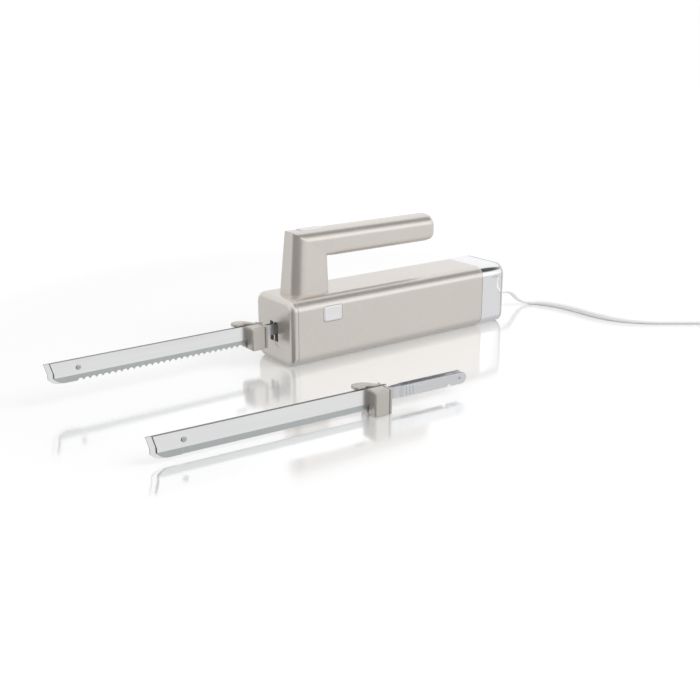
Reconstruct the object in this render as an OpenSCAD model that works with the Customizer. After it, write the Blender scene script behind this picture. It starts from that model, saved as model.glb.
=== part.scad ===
/* [Housing] */
// Length of the housing, front cap to rear cover
body_l = 255; // [240:1:280]
// Width of the housing
body_w = 59; // [56:0.5:66]
// Height of the housing
body_h = 60; // [58:0.5:66]
// Radius of the four long edges
body_r = 10.5; // [8:0.5:13]
// Wall of the drawn sleeve
wall = 2.2; // [1.6:0.1:2.6]
// Depth of the front cap ahead of the sleeve
front_cap_l = 7; // [6.5:0.5:10]
// Rounding of the front cap's rim
front_edge_r = 5; // [3:0.5:6]
// Length of the bright band at the rear
rear_band_l = 26; // [22:1:32]
// Thickness of the rear cover's plate
rear_cover_t = 2.5; // [2:0.5:4]

/* [Handle] */
// Width of the handle's bar
bar_w = 25.3; // [22:0.1:28]
// Height of the handle's bar
bar_h = 24.7; // [22:0.1:28]
// Rounding of the bar's long edges
bar_r = 5.8; // [4:0.2:7]
// Free height between the housing and the bar
finger_gap = 31.3; // [28:0.1:40]
// Length of the bar with the column under its front
bar_l = 160.5; // [140:0.5:172]
// Depth of the column at its top
column_l = 33.4; // [32:0.2:38]
// Distance from the front cap to the top of the column
handle_setback = 17.7; // [16:0.1:22]
// Forward lean of the column's front face, top to foot
column_lean = 4.8; // [3:0.1:6]
// Spread of each side of the column at its foot
column_spread = 2; // [0.5:0.1:3]
// Wall of the handle shell
handle_wall = 2.4; // [2:0.1:3]

/* [Switch] */
// Length of the switch button
switch_l = 25; // [20:0.5:28]
// Width of the switch button
switch_w = 9; // [7:0.5:11]
// Distance from the column's front face to the button
switch_setback = 9.5; // [8:0.5:12]
// Travel of the switch button
switch_travel = 2; // [1:0.25:3]

/* [Release buttons] */
// Length of a release button
release_l = 19.8; // [16:0.2:22]
// Height of a release button
release_h = 13.7; // [11:0.1:15]
// Travel of a release button
release_travel = 2.5; // [1.5:0.25:3]
// How far a release button stands out of the side
release_proud = 0.8; // [0.4:0.1:1.5]

/* [Blades] */
// Length of the far blade, guard to tip
blade_l = 181; // [160:1:200]
// How much shorter the near blade is
tip_lead = 4.5; // [3:0.5:7]
// Height of a blade
blade_h = 18; // [16:0.5:20]
// Thickness of a blade
blade_t = 1.2; // [1:0.1:1.5]
// Gap between the two blades
blade_gap = 0.3; // [0.3:0.1:0.6]
// Height of the ground bevel along the edge
bevel_h = 5.5; // [4:0.5:6.5]
// Pitch of the coarse teeth
coarse_pitch = 5.4; // [4.5:0.1:7]
// Pitch of the fine teeth
fine_pitch = 2; // [1.8:0.1:2.6]
// Depth of a fine tooth
fine_depth = 0.6; // [0.4:0.05:0.8]
// Length of the plain tip ahead of the teeth
plain_tip = 21; // [18:0.5:26]

/* [Guards] */
// Length of a guard block
guard_l = 16.5; // [15:0.5:19]
// Height of a guard block
guard_h = 20.7; // [19:0.1:23]
// Width of a guard block, from the blade's face
guard_w = 8.6; // [7:0.1:9.5]
// Height of the blade's edge over the foot of the guard
guard_drop = 3.7; // [2:0.1:5]
// Distance from the front cap to the guard's front, mounted
guard_reach = 28.5; // [27:0.5:32]

/* [Tangs] */
// Height of a tang
tang_h = 9.7; // [8:0.1:10.5]
// Length from the guard's front to the end of the tang
tang_l = 94.4; // [90:0.2:98]
// Height of the tang's middle over the foot of the guard
tang_rise = 13.9; // [13:0.1:14.5]
// How far each tang steps out from the blade
tang_step = 2.05; // [1.8:0.05:2.4]
// Diameter of the latch hole
tang_hole_d = 4; // [3.4:0.2:4.4]

/* [Drive] */
// Height of the blade's edge over the floor when mounted
edge_z = 20; // [19:0.1:21.5]
// Throw of each eccentric, half of a blade's stroke
throw = 3.5; // [2.5:0.25:3.75]
// Module of the worm wheel
gear_module = 1.1; // [1.05:0.01:1.12]
// Teeth of the worm wheel
wheel_teeth = 20; // [18:1:20]
// Pitch radius of the worm
worm_r = 4.5; // [4.3:0.1:5]
// Height of the motor shaft over the floor
shaft_z = 33; // [31.5:0.5:34]
// Radius of the motor shaft
shaft_r = 2.5; // [2:0.1:2.6]
// Turning clearance of the shafts in their bushes
run_clear = 0.05; // [0.02:0.01:0.1]
// Clearance between sliding pieces
slide_clear = 0.3; // [0.2:0.05:0.4]
// Clearance between pieces that are pushed together
fit_clear = 0.15; // [0.1:0.05:0.3]

/* [Motor] */
// Length of the laminated stator
stator_l = 30; // [24:1:34]
// Width of the stator
stator_w = 40; // [36:1:42]
// Height of the stator
stator_h = 43; // [40:1:44]
// Radius of the armature core
armature_r = 11.5; // [10:0.5:12.5]
// Air gap between armature and stator
air_gap = 0.6; // [0.4:0.1:1]
// Radius of the commutator
commutator_r = 6; // [5.5:0.5:7]
// Radius of the cooling fan
fan_r = 18; // [15:0.5:20]

/* [Mains lead] */
// Diameter of the lead
cord_d = 6; // [5:0.5:7]
// Length of the strain relief outside the rear cover
relief_l = 26; // [20:1:40]
// Height of the lead's exit over the floor
exit_z = 22; // [18:0.5:26]
// Turns of the stored coil
coil_turns = 5; // [3:1:6]
// Radius of the coil's middle turn
coil_r = 34; // [33:1:38]

/* [Spare blades] */
// Place of the spare pair's guard, along the housing
spare_x = -140.5; // [-160:0.5:-120]
// Place of the spare pair's guard, in front of the housing
spare_y = -154.7; // [-180:0.5:-130]
// Turn of the spare pair on the floor
spare_turn = -3.6; // [-10:0.2:10]

/* [Hidden] */
$fn = 48;
hull_fn = 32;
over = 1;

// Places along the housing
front_x = -body_l / 2;
rear_x = body_l / 2;
front_seam = front_x + front_cap_l;
cover_seam = rear_x - rear_cover_t;
band_seam = cover_seam - rear_band_l;
in_w = body_w - 2 * wall;
in_h = body_h - 2 * wall;
in_r = body_r - wall;
mid_z = body_h / 2;
spigot_l = 6;
spigot_t = 2;
cover_edge_r = 1;
vent_w = 2;
vent_pitch = 5;
vents_beside = 3;
vent_z0 = mid_z + 8;
vent_z1 = mid_z + 20;

// Places of the handle
bar_z0 = body_h + finger_gap;
bar_z1 = bar_z0 + bar_h;
column_x0 = front_x + handle_setback;
column_x1 = column_x0 + column_l;
bar_x1 = column_x0 + bar_l;
cover_inset = 3.8;
bar_end_r = 4;
bore_ease = 1;
handle_screw_r = 1.5;
handle_screw_l = 16;
handle_boss_r = 3.6;
lead_gap = 12;

// Places of the switch
switch_x0 = column_x0 + switch_setback;
switch_mid = switch_x0 + switch_l / 2;
switch_proud = 0.9;
switch_r = 3;
switch_skirt = handle_wall + slide_clear;
switch_flange = 1.2;
micro_l = 17;
micro_w = 10;
micro_h = 9;
micro_drop = 17.5;
micro_rail_t = 2;
plunger_r = 1.6;
switch_spring_r = 2.4;
switch_wire_r = 0.4;
switch_curls = 4;

// Places of the release buttons
release_z = shaft_z + 11;
release_r = 2.2;
release_flange = 1.4;
release_skirt = 2.6;
release_seat = 0.8;
release_spring_r = 3.2;
release_wire_r = 0.45;
release_curls = 5;
seat_depth = 1;
seat_ease = 1;
arm_t = 3;
finger_r = 1.5;
finger_room = 4.2;

// Places of the blades, in the pair's own frame: the guard's front face is x = 0 and its foot z = 0
half_gap = blade_gap / 2;
spine_z = guard_drop + blade_h;
edge_t = 0.3;
tip_r = 12;
tip_rake = 2.6;
tip_top = 9;
tooth_r = coarse_pitch * 0.44;
tooth_drop = tooth_r * 0.25;
fine_sink = 0.05;
rivet_x = -154;
rivet_r = 1.5;
rivet_head_r = 2.2;
rivet_head_t = 0.4;
rivet_z = guard_drop + blade_h * 0.62;
root_gap = 2;

// Places of the guards
guard_r = 2.4;
rim_l = 2.6;
rim_t = 0.7;
horn_r = 40;
horn_t = 2.6;
horn_x = -7;
horn_w = 6.6;
horn_reach = 12;
horn_back = 3;
horn_gap = 0.6;
horn_end_r = 3.4;

// Places of the tangs
ramp_x0 = guard_l + 1;
ramp_x1 = 34;
tang_y = half_gap + tang_step;
tang_hole_x = tang_l - 8.4;
notch_x = tang_l - 17.6;
notch_r = 1.9;
ridge_t = 0.125;
ridge_w = 1.6;
ridge_inset = 1;
ridges = 3;

// Places of the mounted pair
pair_x = front_x - guard_reach;
pair_z = edge_z - guard_drop;
tang_z = pair_z + tang_rise;
tang_end = pair_x + tang_l;
hole_x = pair_x + tang_hole_x;
slot_h = 18;
slot_in = 0.9;
slot_out = 6.2;
slot_z = 28;
dish_r = slot_h / 2;
dish_t = 0.3;
dish_y = slot_out + 1.5;
dish_z = slot_z - slot_h * 0.24;

// Places of the carriers
throat = 33.4;
block_y0 = 0.3;
block_x0 = tang_end - throat;
block_z0 = tang_z - 7.7;
block_z1 = tang_z + 7.3;
pocket_end = tang_end + 1;
block_x1 = pocket_end + 2;
arm_z0 = tang_z - 6;
arm_y0 = 5.9;
arm_y1 = 8.5;
yoke_t = 2.4;
leaf_t = 0.6;
leaf_h = 6;
leaf_gap = release_travel - 0.2;
finger_x = block_x0 + 4.4;
release_x = finger_x + release_l / 2 - arm_t;

// Sizes of the drive and the motor along the housing
pi = 3.14159265;
cam_r = 6.2;
cam_y1 = 8.8;
cam_swing = throw / 5;
window_r = cam_r + throw + cam_swing;
worm_lead = pi * gear_module;
worm_turns = 4;
worm_l = (worm_turns + 1) * worm_lead;
block_t = 4;
bracket_t = 4;
fan_l = 9;
coil_over = 6;
commutator_l = 11;
capacitor_l = 16;

// The gaps between them share out the room that the tangs and the rear band leave
hanger_x0 = block_x1 + throw + slide_clear;
drive_gaps = 8;
drive_room = band_seam - spigot_l - hanger_x0;
drive_filled = block_t + worm_l / 2 + window_r + yoke_t + throw + bracket_t + fan_l + coil_over
    + stator_l + coil_over + commutator_l + bracket_t + capacitor_l;
drive_gap = (drive_room - drive_filled) / drive_gaps;

// Places of the drive
wheel_r = gear_module * wheel_teeth / 2;
wheel_z = shaft_z - wheel_r - worm_r;
wheel_x = hanger_x0 + block_t + drive_gap + worm_l / 2;
wheel_t = 5;
tooth_up = 0.73 * gear_module;
tooth_down = 1.09 * gear_module;
tooth_foot = 0.26;
tooth_tip = 0.13;
thread_share = 0.28;
thread_sink = 0.2;
thread_steps = 16;
worm_tip_r = worm_r + 0.82 * gear_module;
worm_root_r = worm_r - gear_module;
axle_r = 2;
axle_boss_t = 2;

// Places of the gear frame
frame_y0 = 12;
frame_t = 2.5;
frame_y1 = frame_y0 + frame_t;
frame_x1 = wheel_x + window_r + yoke_t + throw + drive_gap;
frame_z0 = 4;
frame_z1 = 47;
frame_lead = 6;
frame_edge = 1;
rail_t = 2;
rail_y0 = 0.8;
rail_x0 = block_x0 + 4;
rail_x1 = block_x0 + 29;
guide_l = (block_x0 - throw - front_seam) * 0.59;
frame_bolt_r = 1.4;
frame_head_r = 2.6;
frame_head_t = 1.6;
guide_z0 = slot_z - slot_h / 2 - 2 * frame_head_r;
guide_z1 = slot_z + slot_h / 2 + 2 * frame_head_r;
bush_t = 1.2;

// Places of the motor
bracket_x0 = frame_x1;
bracket_x1 = bracket_x0 + bracket_t;
bracket_vent_r = 4;
bracket_vent_y = 14;
bracket_vent_z = 8;
fan_x0 = bracket_x1 + drive_gap;
stator_x0 = fan_x0 + fan_l + drive_gap + coil_over;
stator_x1 = stator_x0 + stator_l;
stator_r = 4;
core_r = armature_r + air_gap;
core_slots = 9;
core_slot_w = 1.2;
core_slot_t = 1.5;
winding_r0 = shaft_r + 1;
winding_r1 = armature_r - 2;
winding_round = 1;
field_t = 3.6;
field_r0 = core_r + air_gap;
field_r1 = field_r0 + field_t;
field_z0 = 2;
field_h = 5;
commutator_x0 = stator_x1 + coil_over + drive_gap;
commutator_bars = 12;
bar_groove_w = 0.5;
bar_groove_t = 0.8;
rear_bracket_x0 = commutator_x0 + commutator_l + drive_gap;
rear_bracket_x1 = rear_bracket_x0 + bracket_t;
shaft_back = 1;
shaft_tail = 4;
shaft_x0 = hanger_x0 + shaft_back;
shaft_x1 = rear_bracket_x1 + shaft_tail;
hanger_z0 = shaft_z - 6;
hanger_z1 = block_z1 + 3;
bearing_r = 7;
fan_blades = 8;
fan_hub_r = 6;
blade_sheet = 1.4;
bolt_y = stator_w / 2 - 3.4;
bolt_z = stator_h / 2 - 3.4;
motor_bolt_r = 1.5;
brush_w = 5;
brush_h = 5;
brush_l = 13;
holder_t = 1.4;
holder_y0 = commutator_r + 2;
holder_y1 = holder_y0 + 14;
holder_foot_y1 = holder_y1 - 3;
holder_foot_y0 = holder_foot_y1 - 5;

// Places of the rear fittings
terminal_x0 = rear_bracket_x1 + drive_gap;
terminal_l = 12;
terminal_w = 22;
terminal_h = 9;
terminal_z0 = body_h - 18;
terminal_screw_r = 2;
terminal_screw_t = 1;
terminal_foot = 3;
terminal_foot_y = terminal_w / 2 - 2;
capacitor_w = 8;
capacitor_h = 13;
capacitor_y = 13;
clamp_x0 = band_seam + 8;
clamp_l = 8;
clamp_w = 22;
clamp_wall = 2;
clamp_over = 3;
lead_r = 0.9;
lead_y = 6;
lead_in_y = lead_y * 0.6;
lead_z = body_h - wall - 1.3;
core_y = 2;

// The lead's route over the floor: round numbers chosen by hand
cord_r = cord_d / 2;
route = [[153.5, 0, 22], [157, 0, 22], [161, 0, 22], [169, 0, 19.5], [177, 2, 14.5], [185, 4, 9],
    [193, 4, 5], [201, 0, 3], [208, -8, 3], [213, -20, 3], [216, -34, 3], [217, -50, 3],
    [217, -66, 3], [218, -82, 3], [222, -98, 3], [230, -112, 3], [242, -125, 3], [257, -136.5, 3],
    [271, -147, 3], [280, -153.5, 3], [289, -158, 3.4], [298, -160, 3.8], [303, -160, 3.8],
    [308, -160, 3.8]];
route_end = route[len(route) - 1];
route_steps = 2;
cord_sides = 8;
coil_gap = 0.5;
coil_pitch = cord_d + coil_gap;
coil_rings = 24;
coil_sides = 6;
tie_t = 0.8;
tie_w = 8;
tie_gap = 0.4;
relief_r0 = 5.2;
relief_r1 = 3.6;
flange_r = 8;
flange_t = 2;
relief_lead = 2;
spring_steps = 8;
spring_sides = 6;

// The straight tail from the coil to the plug, as shares of its length and of its drop
tail_l = 46;
tail_shares = [[0.25, 0], [0.5, 0], [0.68, 0.2], [0.84, 0.75], [1, 1]];

// Places of the plug
plug_l = 30;
plug_w = 26;
plug_h = 13;
plug_neck_r = 4.5;
plug_head_l = 8;
pin_r = 2;
pin_l = 19;
pin_gap = 18.6;

// Small shapes

// Outline of a rectangle with true round corners, centred
module round_box_2d(w, h, r) {
    square([w - 2 * r, h], center = true);
    square([w, h - 2 * r], center = true);
    for (x = [-1, 1], y = [-1, 1])
        translate([x * (w / 2 - r), y * (h / 2 - r)])
            circle(r);
}

// Prisms along the three axes; the outline's own axes are Y and Z, X and Z, or X and Y
module prism_x(x0, x1) {
    translate([x0, 0, 0])
        rotate([90, 0, 90])
            linear_extrude(x1 - x0)
                children();
}

module prism_y(y0, y1) {
    translate([0, y1, 0])
        rotate([90, 0, 0])
            linear_extrude(y1 - y0)
                children();
}

module prism_z(z0, z1) {
    translate([0, 0, z0])
        linear_extrude(z1 - z0)
            children();
}

// A box between two corners
module block(low, high) {
    translate(low)
        cube(high - low);
}

module rod_x(x0, x1, r, y = 0, z = 0) {
    translate([x0, y, z])
        rotate([0, 90, 0])
            cylinder(h = x1 - x0, r = r);
}

module rod_y(y0, y1, r, x = 0, z = 0) {
    translate([x, y1, z])
        rotate([90, 0, 0])
            cylinder(h = y1 - y0, r = r);
}

module rod_z(z0, z1, r, x = 0, y = 0) {
    translate([x, y, z0])
        cylinder(h = z1 - z0, r = r);
}

// The same shape on the far side
module far_side() {
    mirror([0, 1, 0])
        children();
}

// Section of the housing, less an inset on every side
module body_2d(inset = 0) {
    translate([0, mid_z])
        round_box_2d(body_w - 2 * inset, body_h - 2 * inset, body_r - inset);
}

// A plate of the housing's section whose rim is rounded on one side
module rim_plate(depth, edge, inset) {
    r = body_r - inset;
    w = body_w - 2 * inset;
    h = body_h - 2 * inset;
    hull()
        for (y = [-1, 1], z = [-1, 1])
            translate([0, y * (w / 2 - r), mid_z + z * (h / 2 - r)])
                rotate([0, 90, 0]) {
                    translate([0, 0, edge])
                        cylinder(h = depth - edge, r = r, $fn = hull_fn);
                    translate([0, 0, edge])
                        rotate_extrude($fn = hull_fn)
                            intersection() {
                                translate([r - edge, 0])
                                    circle(edge, $fn = hull_fn);
                                translate([0, -edge])
                                    square([r, edge]);
                            }
                }
}

// Tubes that follow a list of points

function unit(v) = v / norm(v);
function tangent(p, i) = unit(p[min(i + 1, len(p) - 1)] - p[max(i - 1, 0)]);
function side_of(t) = unit(cross([0, 0, 1], t));
function catmull(a, b, c, d, t) = 0.5 * ((2 * b) + (c - a) * t
    + (2 * a - 5 * b + 4 * c - d) * t * t + (3 * b - a - 3 * c + d) * t * t * t);
function smooth(p, n) = concat(
    [for (i = [0 : len(p) - 2], k = [0 : n - 1])
        catmull(p[max(i - 1, 0)], p[i], p[i + 1], p[min(i + 2, len(p) - 1)], k / n)],
    [p[len(p) - 1]]);

module tube(points, r, sides) {
    rings = len(points);
    verts = [for (i = [0 : rings - 1])
        let (t = tangent(points, i), s = side_of(t), u = cross(t, s))
        for (k = [0 : sides - 1])
            points[i] + r * (cos(360 * (k + 0.5) / sides) * s + sin(360 * (k + 0.5) / sides) * u)];
    walls = [for (i = [0 : rings - 2], k = [0 : sides - 1])
        let (a = i * sides + k, b = i * sides + (k + 1) % sides)
        for (f = [[a, b + sides, b], [a, a + sides, b + sides]]) f];
    first = [for (k = [1 : sides - 2]) [0, k, k + 1]];
    z = (rings - 1) * sides;
    last = [for (k = [1 : sides - 2]) [z, z + k + 1, z + k]];
    polyhedron(verts, concat(walls, first, last));
}

// A round spring along its own Z axis
module spring(h, r, wire, curls) {
    n = curls * spring_steps;
    tube([for (i = [0 : n]) let (a = 360 * i / spring_steps)
        [r * cos(a), r * sin(a), wire + (h - 2 * wire) * i / n]], wire, spring_sides);
}

// Housing

module housing_sleeve() color([0.78, 0.76, 0.72])
    difference() {
        prism_x(front_seam, band_seam)
            body_2d();
        prism_x(front_seam - over, band_seam + over)
            body_2d(wall);
        handle_bolting(body_h - wall - over, body_h + over);
        block([switch_mid - lead_gap / 2, -lead_y - 2 * lead_r, body_h - wall - over],
            [switch_mid + lead_gap / 2, lead_y + 2 * lead_r, body_h + over]);
        for (s = [-1, 1])
            prism_y(s * body_w / 2 - over - wall, s * body_w / 2 + over + wall)
                translate([release_x, release_z])
                    round_box_2d(release_l + 2 * slide_clear, release_h + 2 * slide_clear,
                        release_r + slide_clear);
    }

// The two screw places under the column
module handle_bolting(z0, z1) {
    for (x = [column_x0 + handle_boss_r + handle_wall, column_x1 - handle_boss_r - handle_wall])
        rod_z(z0, z1, handle_screw_r + fit_clear, x);
}

module front_cap() color([0.78, 0.76, 0.72])
    difference() {
        union() {
            translate([front_x, 0, 0])
                rim_plate(front_cap_l, front_edge_r, 0);
            prism_x(front_seam, front_seam + spigot_l)
                body_2d(wall + fit_clear);
        }
        prism_x(front_seam, front_seam + spigot_l + over)
            body_2d(wall + fit_clear + spigot_t);
        blade_slots(front_x - over, front_seam + over);
        rod_x(front_x - over, front_x + dish_t, dish_r, -dish_y, dish_z);
    }

// The two upright slots that the tangs go in by
module blade_slots(x0, x1) {
    for (s = [-1, 1])
        prism_x(x0, x1)
            translate([s * (slot_in + slot_out) / 2, slot_z])
                square([slot_out - slot_in, slot_h], center = true);
}

module rear_band() color([0.9, 0.9, 0.92])
    difference() {
        union() {
            prism_x(band_seam, cover_seam)
                body_2d();
            prism_x(band_seam - spigot_l, band_seam)
                body_2d(wall + fit_clear);
        }
        prism_x(band_seam - spigot_l - over, cover_seam + over)
            body_2d(wall + fit_clear + spigot_t);
    }

module rear_cover() color([0.72, 0.7, 0.67])
    difference() {
        union() {
            translate([rear_x, 0, body_h])
                rotate([0, 180, 0])
                    rim_plate(rear_cover_t, cover_edge_r, 0);
            prism_x(cover_seam - spigot_l, cover_seam)
                body_2d(wall + 2 * fit_clear + spigot_t);
        }
        prism_x(cover_seam - spigot_l - over, cover_seam)
            body_2d(wall + 2 * fit_clear + 2 * spigot_t);
        rod_x(cover_seam - over, rear_x + over, relief_r0 + fit_clear, 0, exit_z);
        for (i = [-vents_beside : vents_beside])
            block([cover_seam - over, i * vent_pitch - vent_w / 2, vent_z0],
                [rear_x + over, i * vent_pitch + vent_w / 2, vent_z1]);
    }

// Handle

// Outline of the column at its top, from the mitre down
module column_2d(lean = 0, spread = 0) {
    translate([(column_x0 + column_x1 - lean) / 2, 0])
        round_box_2d(column_l + lean, bar_w + 2 * spread, bar_r);
}

module column_solid() {
    hull() {
        prism_z(body_h, body_h + slide_clear)
            column_2d(column_lean, column_spread, $fn = hull_fn);
        prism_z(bar_z1 - slide_clear, bar_z1)
            column_2d($fn = hull_fn);
    }
}

module bar_solid() {
    prism_x(column_x0, bar_x1)
        translate([0, (bar_z0 + bar_z1) / 2])
            round_box_2d(bar_w, bar_h, bar_r);
}

// Everything on the bar's side of the slanting plane through the top front corner
module mitre_side() {
    translate([column_x0, 0, bar_z1])
        rotate([0, -45, 0])
            block([0, -bar_w, -2 * bar_l], [2 * bar_l, bar_w, 2 * bar_l]);
}

// Rounds the bar's free end
module bar_end_keep() {
    block([column_x0 - column_lean - over, -bar_w, 0], [bar_x1 - bar_end_r, bar_w, bar_z1 + over]);
    intersection() {
        prism_y(-bar_w, bar_w)
            translate([bar_x1 - bar_h, (bar_z0 + bar_z1) / 2])
                round_box_2d(2 * bar_h, bar_h, bar_end_r);
        prism_z(bar_z0 - over, bar_z1 + over)
            translate([bar_x1 - bar_h, 0])
                round_box_2d(2 * bar_h, bar_w, bar_end_r);
    }
}

module handle_outer() {
    intersection() {
        union() {
            intersection() {
                bar_solid();
                mitre_side();
            }
            difference() {
                column_solid();
                intersection() {
                    mitre_side();
                    block([column_x0, -bar_w, bar_z0 + bar_r], [bar_x1, bar_w, bar_z1 + over]);
                }
            }
        }
        bar_end_keep();
    }
}

module handle_inner() {
    t = handle_wall;
    block([column_x0 + t + bore_ease, -bar_w / 2 + t, bar_z0 + t],
        [bar_x1 - 2 * t, bar_w / 2 - t, bar_z1 - t]);
    block([column_x0 + t, -bar_w / 2 + t, body_h + t], [column_x1 - t, bar_w / 2 - t, bar_z1 - t]);
    block([switch_mid - lead_gap / 2, -lead_y - 2 * lead_r, body_h - over],
        [switch_mid + lead_gap / 2, lead_y + 2 * lead_r, body_h + t + over]);
}

module cover_box(gap) {
    block([column_x1 + cover_inset - gap, -bar_w / 2 + cover_inset - gap, bar_z0 - over],
        [bar_x1 - 2 * cover_inset + gap, bar_w / 2 - cover_inset + gap, bar_z0 + handle_wall + over]);
}

module handle_shell() color([0.78, 0.76, 0.72])
    difference() {
        union() {
            difference() {
                handle_outer();
                handle_inner();
            }
            for (x = [column_x0 + handle_boss_r + handle_wall, column_x1 - handle_boss_r - handle_wall])
                rod_z(body_h + slide_clear, body_h + handle_screw_l, handle_boss_r, x);
        }
        cover_box(0);
        handle_bolting(body_h - over, body_h + handle_screw_l - handle_wall);
        prism_z(bar_z1 - handle_wall - over, bar_z1 + over)
            translate([switch_mid, 0])
                round_box_2d(switch_l + 2 * slide_clear, switch_w + 2 * slide_clear, switch_r + slide_clear);
    }

module handle_cover() color([0.74, 0.72, 0.69])
    intersection() {
        bar_solid();
        cover_box(-fit_clear);
        block([column_x1, -bar_w, bar_z0], [bar_x1, bar_w, bar_z0 + handle_wall]);
    }

module handle_screws() color([0.7, 0.7, 0.7])
    for (x = [column_x0 + handle_boss_r + handle_wall, column_x1 - handle_boss_r - handle_wall]) {
        rod_z(body_h - wall - fit_clear, body_h + handle_screw_l - 2 * handle_wall, handle_screw_r, x);
        rod_z(body_h - wall - fit_clear - frame_head_t, body_h - wall - fit_clear, frame_head_r, x);
    }

// Switch

module switch_button() color([0.8, 0.8, 0.79]) {
    prism_z(bar_z1 - switch_skirt, bar_z1 + switch_proud)
        translate([switch_mid, 0])
            round_box_2d(switch_l, switch_w, switch_r);
    prism_z(bar_z1 - switch_skirt - switch_flange, bar_z1 - switch_skirt)
        translate([switch_mid, 0])
            round_box_2d(switch_l + 2 * switch_flange, switch_w + 2 * switch_flange, switch_r);
}

module switch_spring() color([0.75, 0.75, 0.77])
    translate([switch_mid + micro_l / 4, 0, bar_z1 - micro_drop + slide_clear])
        spring(micro_drop - switch_skirt - switch_flange - 2 * slide_clear, switch_spring_r,
            switch_wire_r, switch_curls);

module micro_switch() color([0.15, 0.15, 0.16]) {
    top = bar_z1 - micro_drop;
    block([switch_mid - micro_l / 2, -micro_w / 2, top - micro_h],
        [switch_mid + micro_l / 2, micro_w / 2, top]);
    rod_z(top, bar_z1 - switch_skirt - switch_flange - switch_travel - slide_clear,
        plunger_r, switch_mid - micro_l / 4);
    block([switch_mid - micro_l / 4, -bar_w / 2 + handle_wall, top - (micro_h + micro_rail_t) / 2],
        [switch_mid + micro_l / 4, bar_w / 2 - handle_wall, top - (micro_h - micro_rail_t) / 2]);
}

// Release buttons

module release_button() {
    y_out = body_w / 2 + release_proud;
    y_in = body_w / 2 - wall - release_seat;
    y_back = y_in - release_skirt;
    difference() {
        union() {
            prism_y(-y_out, -y_in)
                translate([release_x, release_z])
                    round_box_2d(release_l, release_h, release_r);
            prism_y(-y_in, -y_back)
                translate([release_x, release_z])
                    round_box_2d(release_l + 2 * release_flange, release_h + 2 * release_flange, release_r);
        }
        rod_y(-y_back - seat_depth, -y_back + over, release_spring_r + seat_ease,
            release_x + release_l / 4, release_z);
    }
    block([finger_x - arm_t / 2, -y_back, tang_z - finger_r],
        [finger_x + arm_t / 2, -y_back + arm_t, release_z]);
    rod_y(-y_back, -arm_y1 - leaf_gap - leaf_t - slide_clear, finger_r, finger_x, tang_z);
}

module release_button_near() color([0.86, 0.86, 0.86])
    release_button();

module release_button_far() color([0.86, 0.86, 0.86])
    far_side()
        release_button();

module release_spring() {
    y0 = frame_y1 + fit_clear;
    y1 = body_w / 2 - wall - release_seat - release_skirt + seat_depth - fit_clear;
    translate([release_x + release_l / 4, -y0, release_z])
        rotate([90, 0, 0])
            spring(y1 - y0, release_spring_r, release_wire_r, release_curls);
}

module release_spring_near() color([0.75, 0.75, 0.77])
    release_spring();

module release_spring_far() color([0.75, 0.75, 0.77])
    far_side()
        release_spring();

// Gear frame

module frame_bolts(r) {
    for (p = frame_bolt_places)
        rod_y(-frame_y1 - over, frame_y1 + over, r, p[0], p[1]);
}

frame_bolt_places = [
    [front_seam + guide_l / 2, guide_z0 + frame_head_r],
    [front_seam + guide_l / 2, guide_z1 - frame_head_r],
    [hanger_x0 + block_t / 2, frame_z1 - frame_head_r - frame_edge]];

module gear_frame() {
    difference() {
        union() {
            prism_y(-frame_y1, -frame_y0)
                polygon([[front_seam, guide_z0], [block_x0, guide_z0],
                    [wheel_x - wheel_r - frame_lead, frame_z0], [frame_x1, frame_z0],
                    [frame_x1, frame_z1], [front_seam + guide_l, frame_z1], [front_seam, guide_z1]]);
            for (z = [block_z0 - slide_clear - rail_t, block_z1 + slide_clear])
                block([rail_x0, -frame_y0, z], [rail_x1, -rail_y0, z + rail_t]);
            rod_y(-frame_y0, -cam_y1 - slide_clear, axle_r + axle_boss_t, wheel_x, wheel_z);
        }
        rod_y(-frame_y1 - over, over - cam_y1, axle_r + run_clear, wheel_x, wheel_z);
        frame_bolts(frame_bolt_r + fit_clear);
        block([finger_x - finger_room, -frame_y1 - over, tang_z - 2 * finger_r],
            [finger_x + finger_room, -frame_y0 + over, tang_z + 2 * finger_r]);
    }
}

module gear_frame_near() color([0.55, 0.56, 0.58])
    gear_frame();

module gear_frame_far() color([0.55, 0.56, 0.58])
    far_side()
        gear_frame();

module frame_screws() color([0.7, 0.7, 0.7])
    for (p = frame_bolt_places) {
        rod_y(-frame_y1, frame_y1, frame_bolt_r, p[0], p[1]);
        rod_y(-frame_y1 - frame_head_t, -frame_y1, frame_head_r, p[0], p[1]);
        rod_y(frame_y1, frame_y1 + frame_head_t, frame_head_r, p[0], p[1]);
    }

module tang_guide() color([0.2, 0.2, 0.21])
    difference() {
        block([front_seam + slide_clear, -frame_y0, guide_z0], [front_seam + guide_l, frame_y0, guide_z1]);
        blade_slots(front_seam - over, front_seam + guide_l + over);
        frame_bolts(frame_bolt_r + fit_clear);
    }

// Carriers: each holds a tang in front and is pushed by an eccentric behind

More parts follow.
